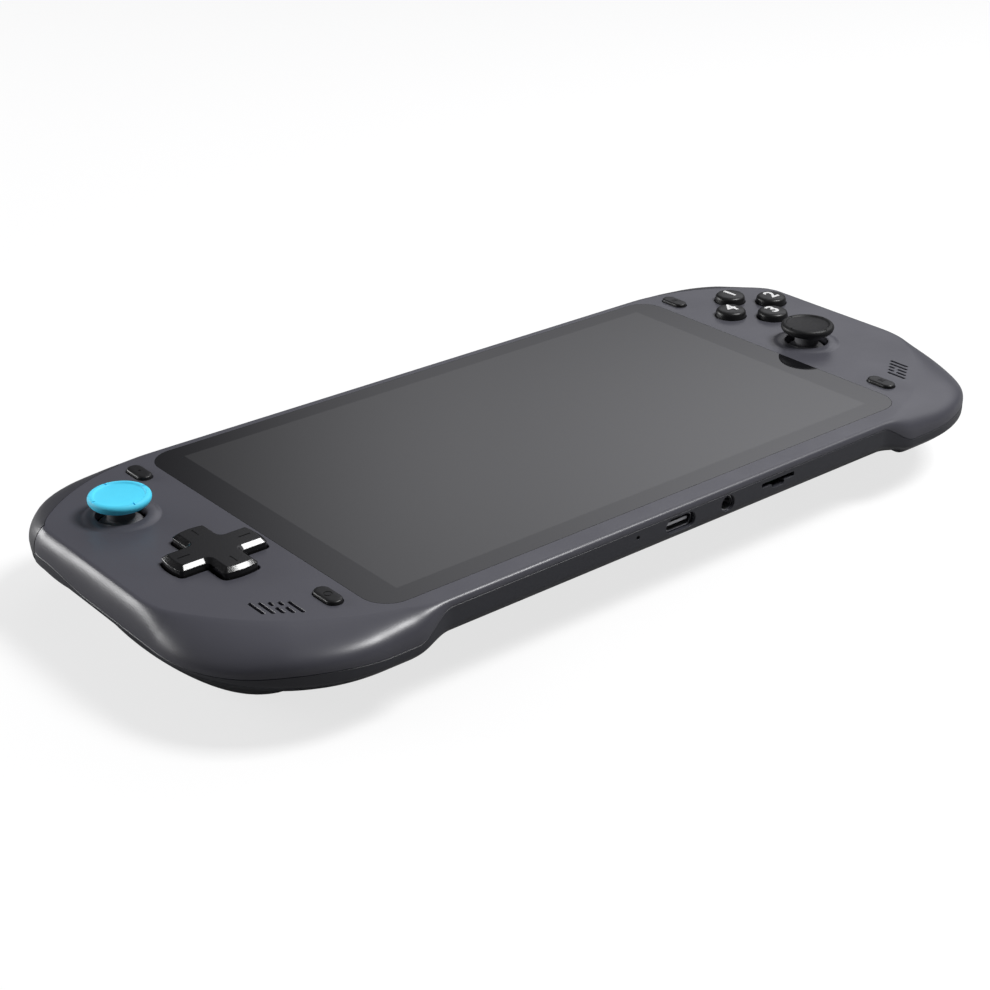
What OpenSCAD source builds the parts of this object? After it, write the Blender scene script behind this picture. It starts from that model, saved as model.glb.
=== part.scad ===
// Handheld game console, lying face up on its two grips.
// Depths run down from the front face, places are measured from the middle of the screen.

/* [Body] */
// Length of the console from grip to grip
body_length = 251; // [240:1:270]
// Body beyond the cover glass along the top edge
top_rim = 2.9; // [2.6:0.1:4]
// Body beyond the cover glass along the lower edge
lower_rim = 6; // [5.4:0.1:7]
// Rise of the grips beyond the top edge
top_rise = 1.8; // [1.4:0.1:2.4]
// Drop of the grips beyond the lower edge
lower_drop = 1.9; // [1.4:0.1:2.6]
// Straight stretch of the lower edge between a corner and its swing in
lower_flat = 8; // [6:0.5:10]
// Straight stretch of the top edge between a corner and its swing in
top_flat = 9.5; // [8.5:0.5:11]
// Length over which the lower edge swings out to a grip
waist_blend = 11; // [8:0.5:14]
// Length over which the top edge swings out to a grip
top_blend = 14; // [8:0.5:14]
// Radius of the upper corners
upper_corner_r = 25; // [24:0.2:26]
// Radius of the lower corners
lower_corner_r = 35.5; // [33:0.5:38]
// Depth of the body at its back plate
body_depth = 12; // [11.6:0.1:14]
// Depth of the body at the grips, where it rests
grip_depth = 24; // [22:0.5:28]
// Thickness of the front wall
wall = 1.8; // [1.6:0.1:2]
// Thickness of the back wall
back_wall = 1.6; // [1.4:0.1:1.8]

/* [Edges] */
// Depth of the seam between the shells on the grips
grip_seam = 7.3; // [6.8:0.1:7.4]
// Depth of the seam between the shells along the waist
waist_seam = 1.8; // [1.6:0.1:2.2]
// Depth where the lower edge starts to turn under
waist_low = 5.8; // [5:0.1:6.4]
// Height of the upright band under the seam on the grips
grip_band = 0.9; // [0.6:0.1:1]
// Width of the rounded edge along the waist
waist_edge = 1.8; // [1.2:0.1:2]
// Width of the rounded edge along the sides
side_edge = 2.2; // [2:0.1:3]
// Radius of the crease across each lower grip
lower_crease_r = 66.5; // [65:0.5:68]
// Radius of the crease under each bumper
upper_crease_r = 54.2; // [53.4:0.2:55]
// Width of the turn from the edge to the back plate
back_turn = 22; // [20:0.5:23]
// Roundness of the front edges, 1 for an ellipse and less for a fuller edge
front_round = 0.7; // [0.6:0.05:1]
// Roundness of the turn to the back plate
back_round = 0.88; // [0.8:0.02:1]

/* [Screen] */
// Cover glass, distance in from each side of the console
glass_side = 39.65; // [39.4:0.05:42]
// Height of the cover glass
glass_height = 98.2; // [92:0.2:106]
// Corner radius of the cover glass
glass_corner = 7; // [5:0.5:8]
// Thickness of the cover glass
glass_thickness = 0.8; // [0.7:0.05:0.9]
// Border of the cover glass at each end of the display panel
panel_end = 5.85; // [5.5:0.05:8]
// Border of the cover glass above and below the display panel
panel_edge = 3.1; // [2.9:0.1:4]
// Thickness of the display panel
panel_thickness = 1.8; // [1.4:0.05:1.8]

/* [Sticks] */
// Left stick, distance in from the side
left_stick_in = 19.5; // [18.9:0.1:20.5]
// Left stick, distance down from the top of the grip
left_stick_down = 28.5; // [28:0.1:29.2]
// Right stick, distance in from the side
right_stick_in = 27.1; // [25.5:0.1:27.7]
// Right stick, height above the middle
right_stick_y = -4.2; // [-6:0.1:-4]
// Diameter of the stick caps
stick_cap_d = 15; // [14:0.1:16]
// Diameter of the holes for the sticks
stick_hole_d = 12; // [11.6:0.1:12.4]
// Height of the stick caps over the front face
stick_height = 5.8; // [5.4:0.1:6.2]
// Height of the raised rim round each stick hole
stick_rim = 0.6; // [0.4:0.1:0.6]

/* [Buttons] */
// Middle of the face buttons, distance in from the side
face_in = 20; // [19.5:0.1:20.5]
// Middle of the face buttons, distance down from the top of the grip
face_down = 29.6; // [29.2:0.1:30.2]
// Each face button from their middle
face_spread = 8.6; // [8.2:0.1:8.8]
// Diameter of the face buttons
face_d = 9; // [8.4:0.1:9.2]
// Height of the face buttons over the front face
face_height = 2.3; // [1.6:0.1:2.4]
// Cross pad, distance in from the side
dpad_in = 25.8; // [25.1:0.1:25.9]
// Cross pad, height above the middle
dpad_y = -5.5; // [-6:0.1:-5]
// Length of the cross pad
dpad_length = 23.6; // [22:0.1:23.6]
// Width of the arms of the cross pad
dpad_arm = 8.7; // [7.8:0.1:9.2]
// Height of the cross pad over the front face
dpad_height = 2.4; // [1.8:0.1:2.8]
// Pill buttons, distance in from the side
pill_in = 34.2; // [33.9:0.1:34.5]
// Upper pill buttons, distance down from the top of the grip
pill_down = 11.8; // [11.8:0.1:12.8]
// Lower pill buttons, distance up from the bottom of the grip
pill_up = 19.8; // [19.2:0.1:20.2]
// Length of the pill buttons
pill_length = 8.4; // [7.6:0.1:8.4]
// Width of the pill buttons
pill_width = 4; // [3.6:0.1:4.2]
// Height of the pill buttons over the front face
pill_height = 0.9; // [0.6:0.1:1.2]

/* [Shoulders] */
// Angle round the upper corner where the bumper starts
bumper_start = 10; // [9.5:0.5:12]
// Length of the bumper along the top edge, past the corner
bumper_tail = 7.5; // [5.5:0.5:7.5]
// Depth of the lower edge of the bumper
bumper_depth = 8.3; // [8:0.1:8.4]
// Outer post of the trigger, distance in from the rounded corner
trigger_inset = 3.8; // [3.7:0.1:4.4]
// Width of the trigger at its pivot
trigger_width = 16; // [14:0.2:16]
// Depth of the tip of the trigger
trigger_depth = 20; // [18:0.5:21]

/* [Ports] */
// Place of the microphone hole along the lower edge
mic_x = -16; // [-20:0.5:-12]
// Place of the USB-C socket along the lower edge
usb_x = -2; // [-4:0.5:2]
// Place of the audio socket along the lower edge
jack_x = 14; // [12:0.5:18]
// Place of the card slot along the lower edge
card_x = 31.6; // [29:0.2:40]
// Depth of the middle of the USB-C and audio sockets
port_depth = 4.5; // [4.5:0.05:4.6]
// Diameter of the audio socket's bore
jack_d = 3.55; // [3.5:0.01:3.6]
// Width of the card slot
card_width = 11.2; // [11:0.1:11.6]
// Length of the power button
power_length = 10; // [8:0.5:12]
// Length of the volume rocker
volume_length = 18; // [15:0.5:20]

/* [Clearances] */
// Gap round the cover glass and the display panel
glass_gap = 0.15; // [0.1:0.05:0.2]
// Gap round each button in its hole
key_gap = 0.25; // [0.2:0.05:0.3]
// Gap round the cross pad
dpad_gap = 0.5; // [0.45:0.05:0.6]
// Gap round each bumper
bumper_gap = 0.3; // [0.3:0.05:0.4]
// Gap at the ends of each bumper
bumper_end_gap = 0.45; // [0.4:0.05:0.5]
// Gap at the sides of each trigger
trigger_gap = 0.35; // [0.3:0.05:0.4]
// Radial gap of a pin or shaft that turns in a bore
run_gap = 0.05; // [0.04:0.01:0.08]
// Radial gap of a pin or screw that sits still in a bore
seat_gap = 0.02; // [0.01:0.01:0.04]
// Gap between a socket or a fixed part and the wall round it
port_gap = 0.2; // [0.15:0.05:0.25]

/* [Hidden] */
$fn = 64;
over = 1;
bond = 0.05;
lap = 0.2;

// Edges of the body and of the screen, from the middle of the display
half_length = body_length / 2;
glass_y = -0.2;
glass_length = body_length - 2 * glass_side;
panel_length = glass_length - 2 * panel_end;
panel_height = glass_height - 2 * panel_edge;
waist_top = glass_height / 2 + glass_y + top_rim;
waist_bottom = glass_height / 2 - glass_y + lower_rim;
grip_top = waist_top + top_rise;
grip_bottom = waist_bottom + lower_drop;
mid_y = (grip_top - grip_bottom) / 2;

// Corner arcs, the circles of the creases, and steps along the outline
low_x = half_length - lower_corner_r;
low_y = lower_corner_r - grip_bottom;
up_x = half_length - upper_corner_r;
up_y = grip_top - upper_corner_r;
waist_half = low_x - lower_flat - waist_blend;
top_waist_half = up_x - top_flat - top_blend;
lower_crease_in = [62.5, 2.7];
lower_crease = [half_length - lower_crease_in.x, lower_crease_r - grip_bottom + lower_crease_in.y];
upper_crease_in = [43.4, 2.9];
upper_crease = [half_length - upper_crease_in.x, grip_top - upper_crease_in.y - upper_crease_r];
crease_angle = 72;
shoulder = [0.45, 0.3];
waist_steps = 3;
blend_steps = 5;
corner_steps = 10;
side_steps = 3;

// Swelling of each grip: middle, half-axes at its root, depth of its root, and how it narrows
swell_mid = [half_length - 20, -6];
swell_axes = [18.5, 42.5];
swell_root = [9, body_depth - back_wall + lap];
swell_narrow = [0.7, 0.56];
swell_power = [1.6, 1.8];
swell_points = 28;

// Ends of the audio socket, and seat of the keys on the top edge
jack_face = waist_bottom - 0.2;
jack_back = jack_face - 13.9;
top_key_seat = waist_top - wall - 0.3;
top_key_flange_t = 0.8;
top_key_travel = 0.5;

// Stack behind the screen
chassis_top = glass_thickness + panel_thickness + bond;
chassis_thickness = 0.8;
chassis_bottom = chassis_top + chassis_thickness;
chassis_rail = [0.5, 1.3];
chassis_half = panel_length / 2 + chassis_rail[0] + chassis_rail[1];
chassis_low = port_gap - jack_back;
chassis_high = top_key_seat - top_key_flange_t - top_key_travel - port_gap;
main_rise = 1.35;
main_top = chassis_bottom + main_rise;
board_thickness = 0.9;
main_bottom = main_top + board_thickness;
battery_size = [92, 50];
battery_y = chassis_high - 3.2 - battery_size.y / 2;
battery_thickness = 5.2;
main_half = chassis_half - 7.8;
main_low = 3 - waist_bottom;
main_high = battery_y - battery_size.y / 2 - 3;
main_posts = [for (y = [main_high - 6, main_low + 16.3]) [main_half - 6, y]];
main_post_r = 2;
shield_size = [44, 26];
shield_mid = [-13, main_high - 15.5];
shield_thickness = 1.8;

// Boards under the grips, right side
control_top = 5.2;
control_bottom = control_top + 0.8;
control_edge = half_length - 37.9;
control_low = 14.2 - grip_bottom;
control_high = grip_top - 9;
control_shelf = grip_top - 15.1;
control_corner = [low_x, low_y] + (lower_corner_r - 10.9) * [cos(35), -sin(35)];
control_side = half_length - 6.2;
control_outline = [[control_edge, control_low], [half_length - 28.5, control_low], control_corner,
                   [control_side, low_y + 3.7], [control_side, up_y - 1.1],
                   [half_length - 13.5, control_shelf], [half_length - 30, control_shelf],
                   [half_length - 30, control_high],
                   [control_edge, control_high]];
control_posts = [for (p = [[10.5, 2], [12.5, -22], [35, -21.5], [34.5, 16]]) [half_length - p.x, p.y]];
control_post_r = 1.9;
ribbon_thickness = 0.3;
ribbon_y = main_high - 10.8;
ribbon_width = 5.8;
ribbon_lap = [4, 2.2];
ribbon_plug = 3;

// Screws: case screws from the back, board screws from below
case_boss_x = half_length - 41;
case_boss_r = 2.4;
case_boss_y = [waist_top - back_turn - case_boss_r - port_gap, 1,
               back_turn + case_boss_r + 2.9 - waist_bottom];
case_screw_r = 0.95;
case_screw_top = 7;
case_head_r = 1.9;
case_head_t = 0.75;
board_screw_r = 0.7;
board_screw_grip = 2;
board_head_r = 1.6;
board_head_t = 0.8;

// Places of the sticks, and their parts from the pivot of each
left_stick_x = half_length - left_stick_in;
left_stick_y = grip_top - left_stick_down;
right_stick_x = half_length - right_stick_in;
stick_pivot = 7;
dome_r = 8.6;
dome_t = 1;
dome_rim = 4.6;
dome_relief_r = sqrt(stick_hole_d * stick_hole_d / 4 + stick_pivot * stick_pivot);
neck_r = 3.2;
neck_low = dome_r - dome_t / 2 - 0.4;
cap_thickness = 2.9;
neck_top = stick_pivot + stick_height - cap_thickness;
cap_under = [[3.5, 0], [1.2, 0.5], [0.25, 1.15], [0, 1.8]];
cap_top = [[0.15, 0.55], [0.5, 0.15], [1, 0], [1.4, 0.15], [1.9, 0.4], [4.6, 0.7]];
cap_dish = 0.75;
stub_r = 1.8;
stub_h = 0.8;
shaft_r = 1.3;
shaft_low = -1.1;
pin_r = 0.7;
gimbal_r = 4.9;
gimbal_hole_r = 3.3;
gimbal_half = 0.9;
gimbal_reach = 6.6;
rocker_r = 2.1;
rocker_half = 2.2;
rocker_reach = 4.4;
housing_size = 15;
housing_bore_r = 5.6;
housing_low = -2.7;
housing_floor = -2.2;
housing_top = stick_pivot - control_bottom;
stick_clear_r = 8.9;
stick_rim_r = [9.4, 8.4];

// Keys under the front wall
face_x = half_length - face_in;
face_y = grip_top - face_down;
dpad_x = half_length - dpad_in;
pill_x = half_length - pill_in;
pill_top_y = grip_top - pill_down;
pill_low_y = pill_up - grip_bottom;
key_flange = 0.8;
key_flange_top = wall + key_gap;
face_flange_r = face_d / 2 + key_flange;
face_flange_bottom = key_flange_top + 0.85;
face_travel = 1;
face_bevel = 0.4;
face_dome_r = 3.2;
face_dome_top = face_flange_bottom + face_travel + 0.15;
membrane_t = 0.5;
membrane_border = [0.5, 0.3];
pill_flange = [pill_width + 1.4, 5];
pill_flange_bottom = key_flange_top + 0.65;
pill_travel = 0.5;
pill_switch = 3.4;
pill_switch_top = pill_flange_bottom + pill_travel + 0.1;
dpad_under = 2.4;
dpad_flange_r = 7.6;
dpad_flange_top = wall + 0.8;
dpad_flange_bottom = dpad_flange_top + 0.4;
dpad_hub_r = 5.6;
dpad_hub_bottom = dpad_flange_bottom - lap;
dpad_boss_r = 2.6;
dpad_boss_top = dpad_under - 0.5;
dpad_boss_bottom = dpad_flange_bottom + 0.1;
dpad_ball_r = 1.6;
dpad_ball_depth = 3.5;
dpad_dome_r = 2.6;
dpad_dome_spread = 8.4;
dpad_dome_top = dpad_flange_bottom + 0.8;
dpad_post_r = 2.5;
dpad_post_top = 4.1;
dpad_bevel = 1.1;
speaker_size = [11, 7.5];
speaker_top = wall + 0.5;
speaker_turn = 34;
grille_x = half_length - 23.1;
grille_y = 23.2 - grip_bottom;
grille_pitch = [1.75, 1.2];
grille_slot = [0.8, 6.1];
grille_bar = 0.9;

// Bumper section, hinge pin and lugs
bumper_steps = 9;
bumper_end = up_x - bumper_tail;
bumper_roof = wall + 0.2;
bumper_in = [2.2, 2.3];
bumper_tuck = 0.15;
pin_axis_depth = 3.6;
bumper_pin_r = 0.8;
bumper_pin_inset = [3, 2];
bumper_pin_over = 2.4;
bumper_post_r = 1.5;
lug_r = 1.6;
lug_at = 2.3;
lug_width = 2.6;
lug_sink = 2.4;
lug_web_t = 1.8;
notch_low = bumper_depth + 0.75;
notch_in = 5;
notch_step = 2.4;

// Trigger: pivot as [y, depth], and its profile from the pivot, or from the tip's depth
trigger_pivot = [grip_top - 12.1, 8.4];
trigger_boss_r = 3;
trigger_pin_r = 1;
trigger_wing = 3;
trigger_wing_y = trigger_pivot.x + 3.7;
trigger_edge = 2.4;
trigger_upper = [[0, -1], [2.2, -0.6], [3.4, 0.9], [9.6, 1.1], [10, 3.1], [9.5, 6.1]];
trigger_tip = [[7.7, -2.4], [5.5, -0.6], [2, 0], [-2.2, -0.2], [-4.2, -1.4], [-5, -3.2], [-4.2, -5]];
trigger_inner = [[-2.2, 4.9], [-1.4, 2]];
trigger_post = [1.8, 2.2];
trigger_reach = sqrt(pow(upper_corner_r - trigger_inset, 2)
                     - pow(trigger_pivot.x + trigger_post.y - up_y, 2));
trigger_x = up_x + trigger_reach - trigger_post.x - trigger_gap - trigger_width;
trigger_post_top = 6.9;
trigger_post_low = [body_depth - 1, body_depth - 2];
trigger_pocket_y = [trigger_pivot.x - trigger_boss_r - 0.4, trigger_pivot.x + 2.7];
trigger_pocket_top = 8.95;
spring_r = [1.2, 1.6];
spring_length = 3;

// Sockets on the lower edge and keys on the top edge
usb_size = [9, 3.3];
usb_wall = 0.3;
usb_face = waist_bottom - 0.4;
usb_back = usb_face - 7.9;
usb_floor = 1;
usb_tongue_in = 0.7;
usb_tongue = [6.7, 0.7];
jack_body = [6.2, 3.7];
jack_nose_r = 2.05;
jack_front = waist_bottom - wall - 4 * port_gap;
jack_bore = 12;
card_body = [14, 1.9];
card_top = main_top - card_body.y;
card_slot = 0.9;
card_depth = card_top + 0.35 + card_slot / 2;
scoop_r = 1.9;
scoop_t = 0.9;
mic_r = 0.5;
mic_depth = 3.7;
mic_size = [3.6, 2.6, 1];
top_key_depth = 4;
top_key_width = 2.4;
top_key_proud = 0.5;
top_key_flange = [1, 0.5];
power_x = top_waist_half - 19;
volume_x = 17 - top_waist_half;
volume_switch = 5;
top_switch = [4, 2.2, 1.9];

function mix(a, b, t) = a + (b - a) * t;
function ease(t) = let (c = min(max(t, 0), 1)) c * c * (3 - 2 * c);
// Distance from point p along direction d to the near side of a circle, nothing where it starts inside
function reach(p, d, centre, r) =
    let (q = p - centre, b = q * d, c = q * q - r * r, disc = b * b - c)
    c > 0 && disc > 0 && b < 0 ? -b - sqrt(disc) : 0;
// Width of the sloping edge at a point of the outline
function edge_width(p, d, share) =
    mix(waist_edge, max(side_edge, reach(p, d, lower_crease, lower_crease_r),
                        reach(p, d, upper_crease, upper_crease_r)), share);
// A station of the outline: place, inward direction, share of grip, width of the sloping edge
function station(p, d, share) = [p, d, share, edge_width(p, d, share)];
function edge_station(x, waist, blend, waist_y, grip_y, up) =
    let (share = ease((x - waist) / blend))
    station([x, up * mix(waist_y, grip_y, share)], [0, -up], share);
function corner_station(centre, r, a) = station(centre + r * [cos(a), sin(a)], -[cos(a), sin(a)], 1);
function lower_edge(x) = edge_station(x, waist_half, waist_blend, waist_bottom, grip_bottom, -1);
function upper_edge(x) = edge_station(x, top_waist_half, top_blend, waist_top, grip_top, 1);
right_half = concat(
    [for (i = [0 : waist_steps - 1]) lower_edge(waist_half * i / waist_steps)],
    [for (i = [0 : blend_steps]) lower_edge(waist_half + waist_blend * i / blend_steps)],
    [for (i = [0 : corner_steps]) corner_station([low_x, low_y], lower_corner_r, 90 * i / corner_steps - 90)],
    [for (i = [1 : side_steps - 1]) station([half_length, mix(low_y, up_y, i / side_steps)], [-1, 0], 1)],
    [for (i = [0 : corner_steps]) corner_station([up_x, up_y], upper_corner_r, 90 * i / corner_steps)],
    [for (i = [blend_steps : -1 : 0]) upper_edge(top_waist_half + top_blend * i / blend_steps)],
    [for (i = [waist_steps - 1 : -1 : 0]) upper_edge(top_waist_half * i / waist_steps)]);
function mirrored(s) = [[-s[0].x, s[0].y], [-s[1].x, s[1].y], s[2], s[3]];
outline = concat(right_half, [for (i = [len(right_half) - 2 : -1 : 1]) mirrored(right_half[i])]);

function seam_depth(s) = mix(waist_seam, grip_seam, s[2]);
function low_depth(s) = mix(waist_low, grip_seam + grip_band, s[2]);
// A point of a station's section, at an inset from the outline and a depth
function at(s, inset, depth) = [s[0].x + s[1].x * inset, s[0].y + s[1].y * inset, -depth];
// Front edge: t runs from the crease, 0, to the seam, 1
function front_inset(s, t) =
    let (a = mix(90, crease_angle, s[2]))
    s[3] * (1 - pow(cos(a * (1 - t)), front_round)) / (1 - pow(cos(a), front_round));
function front_depth(s, t) =
    let (a = mix(90, crease_angle, s[2]))
    seam_depth(s) * (1 - pow(sin(a * (1 - t)) / sin(a), front_round));
function front_point(s, t) = at(s, front_inset(s, t), front_depth(s, t));
// Back edge: t runs from the end of the upright band, 0, to the back plate, 1, thickness inside the wall
function back_point(s, t, side_wall, plate) =
    at(s, side_wall + (back_turn - side_wall) * (1 - pow(cos(90 * t), back_round)),
       mix(low_depth(s), body_depth - plate, pow(sin(90 * t), back_round)));

// Triangles that fill the outline, anticlockwise from above, paired between its lower and upper edges
edge_count = waist_steps + blend_steps + corner_steps + 2;
half_count = len(right_half);
right_fill = concat(
    [for (i = [0 : edge_count - 3], half = [0, 1])
        half == 0 ? [i, i + 1, half_count - 2 - i] : [i, half_count - 2 - i, half_count - 1 - i]],
    [for (i = [edge_count - 1 : half_count - edge_count]) [edge_count - 2, i, i + 1]]);
function across(i) = (len(outline) - i) % len(outline);
outline_fill = concat(right_fill, [for (f = right_fill) [across(f[2]), across(f[1]), across(f[0])]]);

// A solid skinned over rings of points, with the first and the last ring filled
module skin(rings, fill) {
    n = len(rings[0]);
    last = len(rings) - 1;
    polyhedron(
        points = [for (r = rings) each r],
        faces = concat(
            [for (f = fill) [f[2], f[1], f[0]]],
            [for (k = [0 : last - 1], i = [0 : n - 1], half = [0, 1])
                let (j = (i + 1) % n, u = k * n, l = (k + 1) * n)
                half == 0 ? [u + i, u + j, l + j] : [u + i, l + j, l + i]],
            [for (f = fill) [for (v = f) last * n + v]]));
}
module standing() translate([0, -mid_y, grip_depth]) children();

module front_form() {
    skin(concat(
        [for (t = [0, 0.2, 0.4, 0.6, 0.8, 1]) [for (s = outline) front_point(s, t)]],
        [[for (s = outline) at(s, wall, seam_depth(s))]],
        [[for (s = outline) at(s, wall + shoulder.x * s[3], mix(wall, seam_depth(s), shoulder.y))]],
        [[for (s = outline) at(s, wall + s[3], wall)]]), outline_fill);
}
module rear_form() {
    skin(concat(
        [for (t = [1, 0.6, 0.3, 0]) [for (s = outline) back_point(s, t, wall, back_wall)]],
        [[for (s = outline) at(s, wall, seam_depth(s))]],
        [[for (s = outline) at(s, 0, seam_depth(s))]],
        [for (t = [0, 0.2, 0.4, 0.65, 1]) [for (s = outline) back_point(s, t, 0, 0)]]), outline_fill);
}
// A box of a size in x and y about a place, between two depths
module block(size, place, top, bottom) {
    translate([place.x - size.x / 2, place.y - size.y / 2, -bottom]) cube([size.x, size.y, bottom - top]);
}
// A drum about the depth axis, between two depths
module drum(r, top, bottom) translate([0, 0, -bottom]) cylinder(r = r, h = bottom - top);
// A flat shape between two depths
module plate(top, bottom) translate([0, 0, -bottom]) linear_extrude(bottom - top) children();
// A flat shape in x and depth, run between two places along y
module along_y(from, to) translate([0, to, 0]) rotate([90, 0, 0]) linear_extrude(to - from) children();
// A rod along x between two places
module rod_x(r, from, to) translate([from, 0, 0]) rotate([0, 90, 0]) cylinder(r = r, h = to - from);
// A rod along y between two places
module rod_y(r, from, to) translate([0, to, 0]) rotate([90, 0, 0]) cylinder(r = r, h = to - from);
module rounded(length, height, r) {
    square([length - 2 * r, height], center = true);
    square([length, height - 2 * r], center = true);
    for (x = [-1, 1], y = [-1, 1]) translate([x * (length / 2 - r), y * (height / 2 - r)]) circle(r = r);
}
// A slot with round ends, long side along the first axis
module stadium(length, width) {
    square([length - width, width], center = true);
    for (e = [-1, 1]) translate([e * (length - width) / 2, 0]) circle(d = width);
}
module cross(length, arm) {
    square([length, arm], center = true);
    square([arm, length], center = true);
}
// The right side as drawn, or its mirror image on the left
module on_side(side) mirror([side < 0 ? 1 : 0, 0, 0]) children();
module both_sides() for (side = [-1, 1]) on_side(side) children();

// Swelling of a grip, drawn in by a wall
function swell_ring(q, root, foot, inside) =
    [for (i = [0 : swell_points - 1])
        let (a = 360 * i / swell_points,
             rx = swell_axes.x * (1 - swell_narrow.x * pow(q, swell_power.x)) - inside,
             ry = swell_axes.y * (1 - swell_narrow.y * pow(q, swell_power.y)) - inside)
        [swell_mid.x + rx * cos(a), swell_mid.y + ry * sin(a),
         -mix(mix(root[1], root[0], max(cos(a), 0)), foot, q)]];
function fan(n) = [for (i = [1 : n - 2]) [0, i, i + 1]];
module swell(root, foot, inside) {
    skin([for (q = [0, 0.25, 0.5, 0.75, 0.92, 1]) swell_ring(q, root, foot, inside)], fan(swell_points));
}

// Stations of a bumper from the side of the body to the top edge, widened by a gap at each end
function bumper_stations(gap) =
    let (start = bumper_start - gap / upper_corner_r * 180 / PI)
    concat([for (i = [0 : bumper_steps])
               corner_station([up_x, up_y], upper_corner_r, mix(start, 90, i / bumper_steps))],
           [station([bumper_end - gap, grip_top], [0, -1], 1)]);
// Triangles that fill a section listed down one side and back up the other
function ladder(n) =
    [for (i = [0 : n - 2], half = [0, 1])
        half == 0 ? [i, i + 1, 2 * n - 2 - i] : [i, 2 * n - 2 - i, 2 * n - 1 - i]];
bumper_profile = [0, 0.25, 0.5, 0.75, 1];
function bumper_section(s) =
    let (n = len(bumper_profile))
    concat([at(s, s[3], bumper_roof)],
           [for (i = [1 : n - 1])
               at(s, mix(s[3], bumper_in[0], sin(90 * bumper_profile[i])),
                  mix(bumper_roof, grip_seam, bumper_profile[i]))],
           [at(s, bumper_in[1], bumper_depth), at(s, bumper_tuck, bumper_depth)],
           [for (i = [n - 1 : -1 : 0]) front_point(s, bumper_profile[i])]);
module bumper_form() {
    skin([for (s = bumper_stations(0)) bumper_section(s)], ladder(len(bumper_profile) + 1));
}
// Room cut for a bumper, stepped back under the front wall for its lugs
function notch_section(s) =
    let (edge = s[3] + bumper_gap, step = s[3] + notch_step, ledge = wall + bond)
    [for (p = [[edge, -over], [edge, ledge], [step, ledge], [step, notch_in], [notch_in, notch_low],
               [-2 * over, notch_low], [-2 * over, notch_in], [-2 * over, ledge + over],
               [-2 * over, ledge], [-2 * over, -over]])
        at(s, p.x, p.y)];
module bumper_notch() skin([for (s = bumper_stations(bumper_end_gap)) notch_section(s)], ladder(5));
// Ends of the bumper's hinge axis, and a frame whose x axis runs along it
pin_ends = [for (e = [0, 1])
    let (s = e == 0 ? bumper_stations(0)[0] : bumper_stations(0)[bumper_steps + 1])
    at(s, s[3] + bumper_pin_inset[e], pin_axis_depth)];
pin_length = norm(pin_ends[1] - pin_ends[0]);
pin_turn = atan2(pin_ends[1].y - pin_ends[0].y, pin_ends[1].x - pin_ends[0].x);
module on_pin() translate(pin_ends[0]) rotate([0, 0, pin_turn]) children();
module bumper_pin_rod(r) {
    past = bumper_pin_over + bumper_post_r;
    on_pin() rod_x(r, -past, pin_length + past);
}
module bumper_posts() {
    on_pin() for (x = [-bumper_pin_over, pin_length + bumper_pin_over])
        translate([x, 0, pin_axis_depth]) drum(bumper_post_r, wall / 2, pin_axis_depth + bumper_post_r);
}

module grille() {
    for (i = [-2 : 2]) {
        place = [grille_x + i * grille_pitch.x, grille_y + i * grille_pitch.y];
        difference() {
            translate(place) plate(-over, wall + over) rotate(90) stadium(grille_slot.y, grille_slot.x);
            if (i == 0 || i == -1)
                block([2 * grille_slot.x, grille_bar], place + [0, grille_bar], -2 * over, wall + 2 * over);
        }
    }
}
function face_place(i) = [face_x + face_spread * sin(90 * i), face_y + face_spread * cos(90 * i), 0];
module face_places() for (i = [0 : 3]) translate(face_place(i)) children();
// Hole for a stick, round its dome, and the raised rim about it
module stick_hole() {
    translate([0, 0, -stick_pivot]) sphere(r = dome_relief_r);
    cylinder(d = stick_hole_d, h = stick_rim + over);
}
module stick_rim_ring() {
    translate([0, 0, -wall / 2]) cylinder(r = stick_rim_r[0], h = wall / 2);
    cylinder(r1 = stick_rim_r[0], r2 = stick_rim_r[1], h = stick_rim);
}
module stick_places() {
    translate([-left_stick_x, left_stick_y, 0]) children();
    translate([right_stick_x, right_stick_y, 0]) children();
}
module pill_places() for (y = [pill_top_y, pill_low_y]) translate([pill_x, y, 0]) children();
module case_places() both_sides() for (y = case_boss_y) translate([case_boss_x, y, 0]) children();
module main_post_places() both_sides() for (p = main_posts) translate(p) children();
module control_post_places() both_sides() for (p = control_posts) translate(p) children();

module front_shell() color([0.3, 0.31, 0.36]) standing() difference() {
    union() {
        front_form();
        case_places() drum(case_boss_r, wall / 2, body_depth - back_wall);
        control_post_places() drum(control_post_r, wall / 2, control_top);
        both_sides() bumper_posts();
        stick_places() stick_rim_ring();
    }
    translate([0, glass_y, 0]) plate(-over, glass_thickness)
        rounded(glass_length + 2 * glass_gap, glass_height + 2 * glass_gap, glass_corner);
    block([panel_length + 4 * glass_gap, panel_height + 4 * glass_gap], [0, 0], -over, wall + over);
    stick_places() stick_hole();
    face_places() drum(face_d / 2 + key_gap, -over, wall + over);
    both_sides() pill_places()
        plate(-over, wall + over) rotate(90) stadium(pill_length + 2 * key_gap, pill_width + 2 * key_gap);
    translate([-dpad_x, dpad_y, 0]) plate(-over, wall + over)
        cross(dpad_length + 2 * dpad_gap, dpad_arm + 2 * dpad_gap);
    both_sides() {
        grille();
        bumper_notch();
        bumper_pin_rod(bumper_pin_r + seat_gap);
    }
    case_places() drum(case_screw_r + seat_gap, case_screw_top - over, body_depth);
    control_post_places()
        drum(board_screw_r + seat_gap, control_top - board_screw_grip - port_gap, control_bottom);
}

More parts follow.
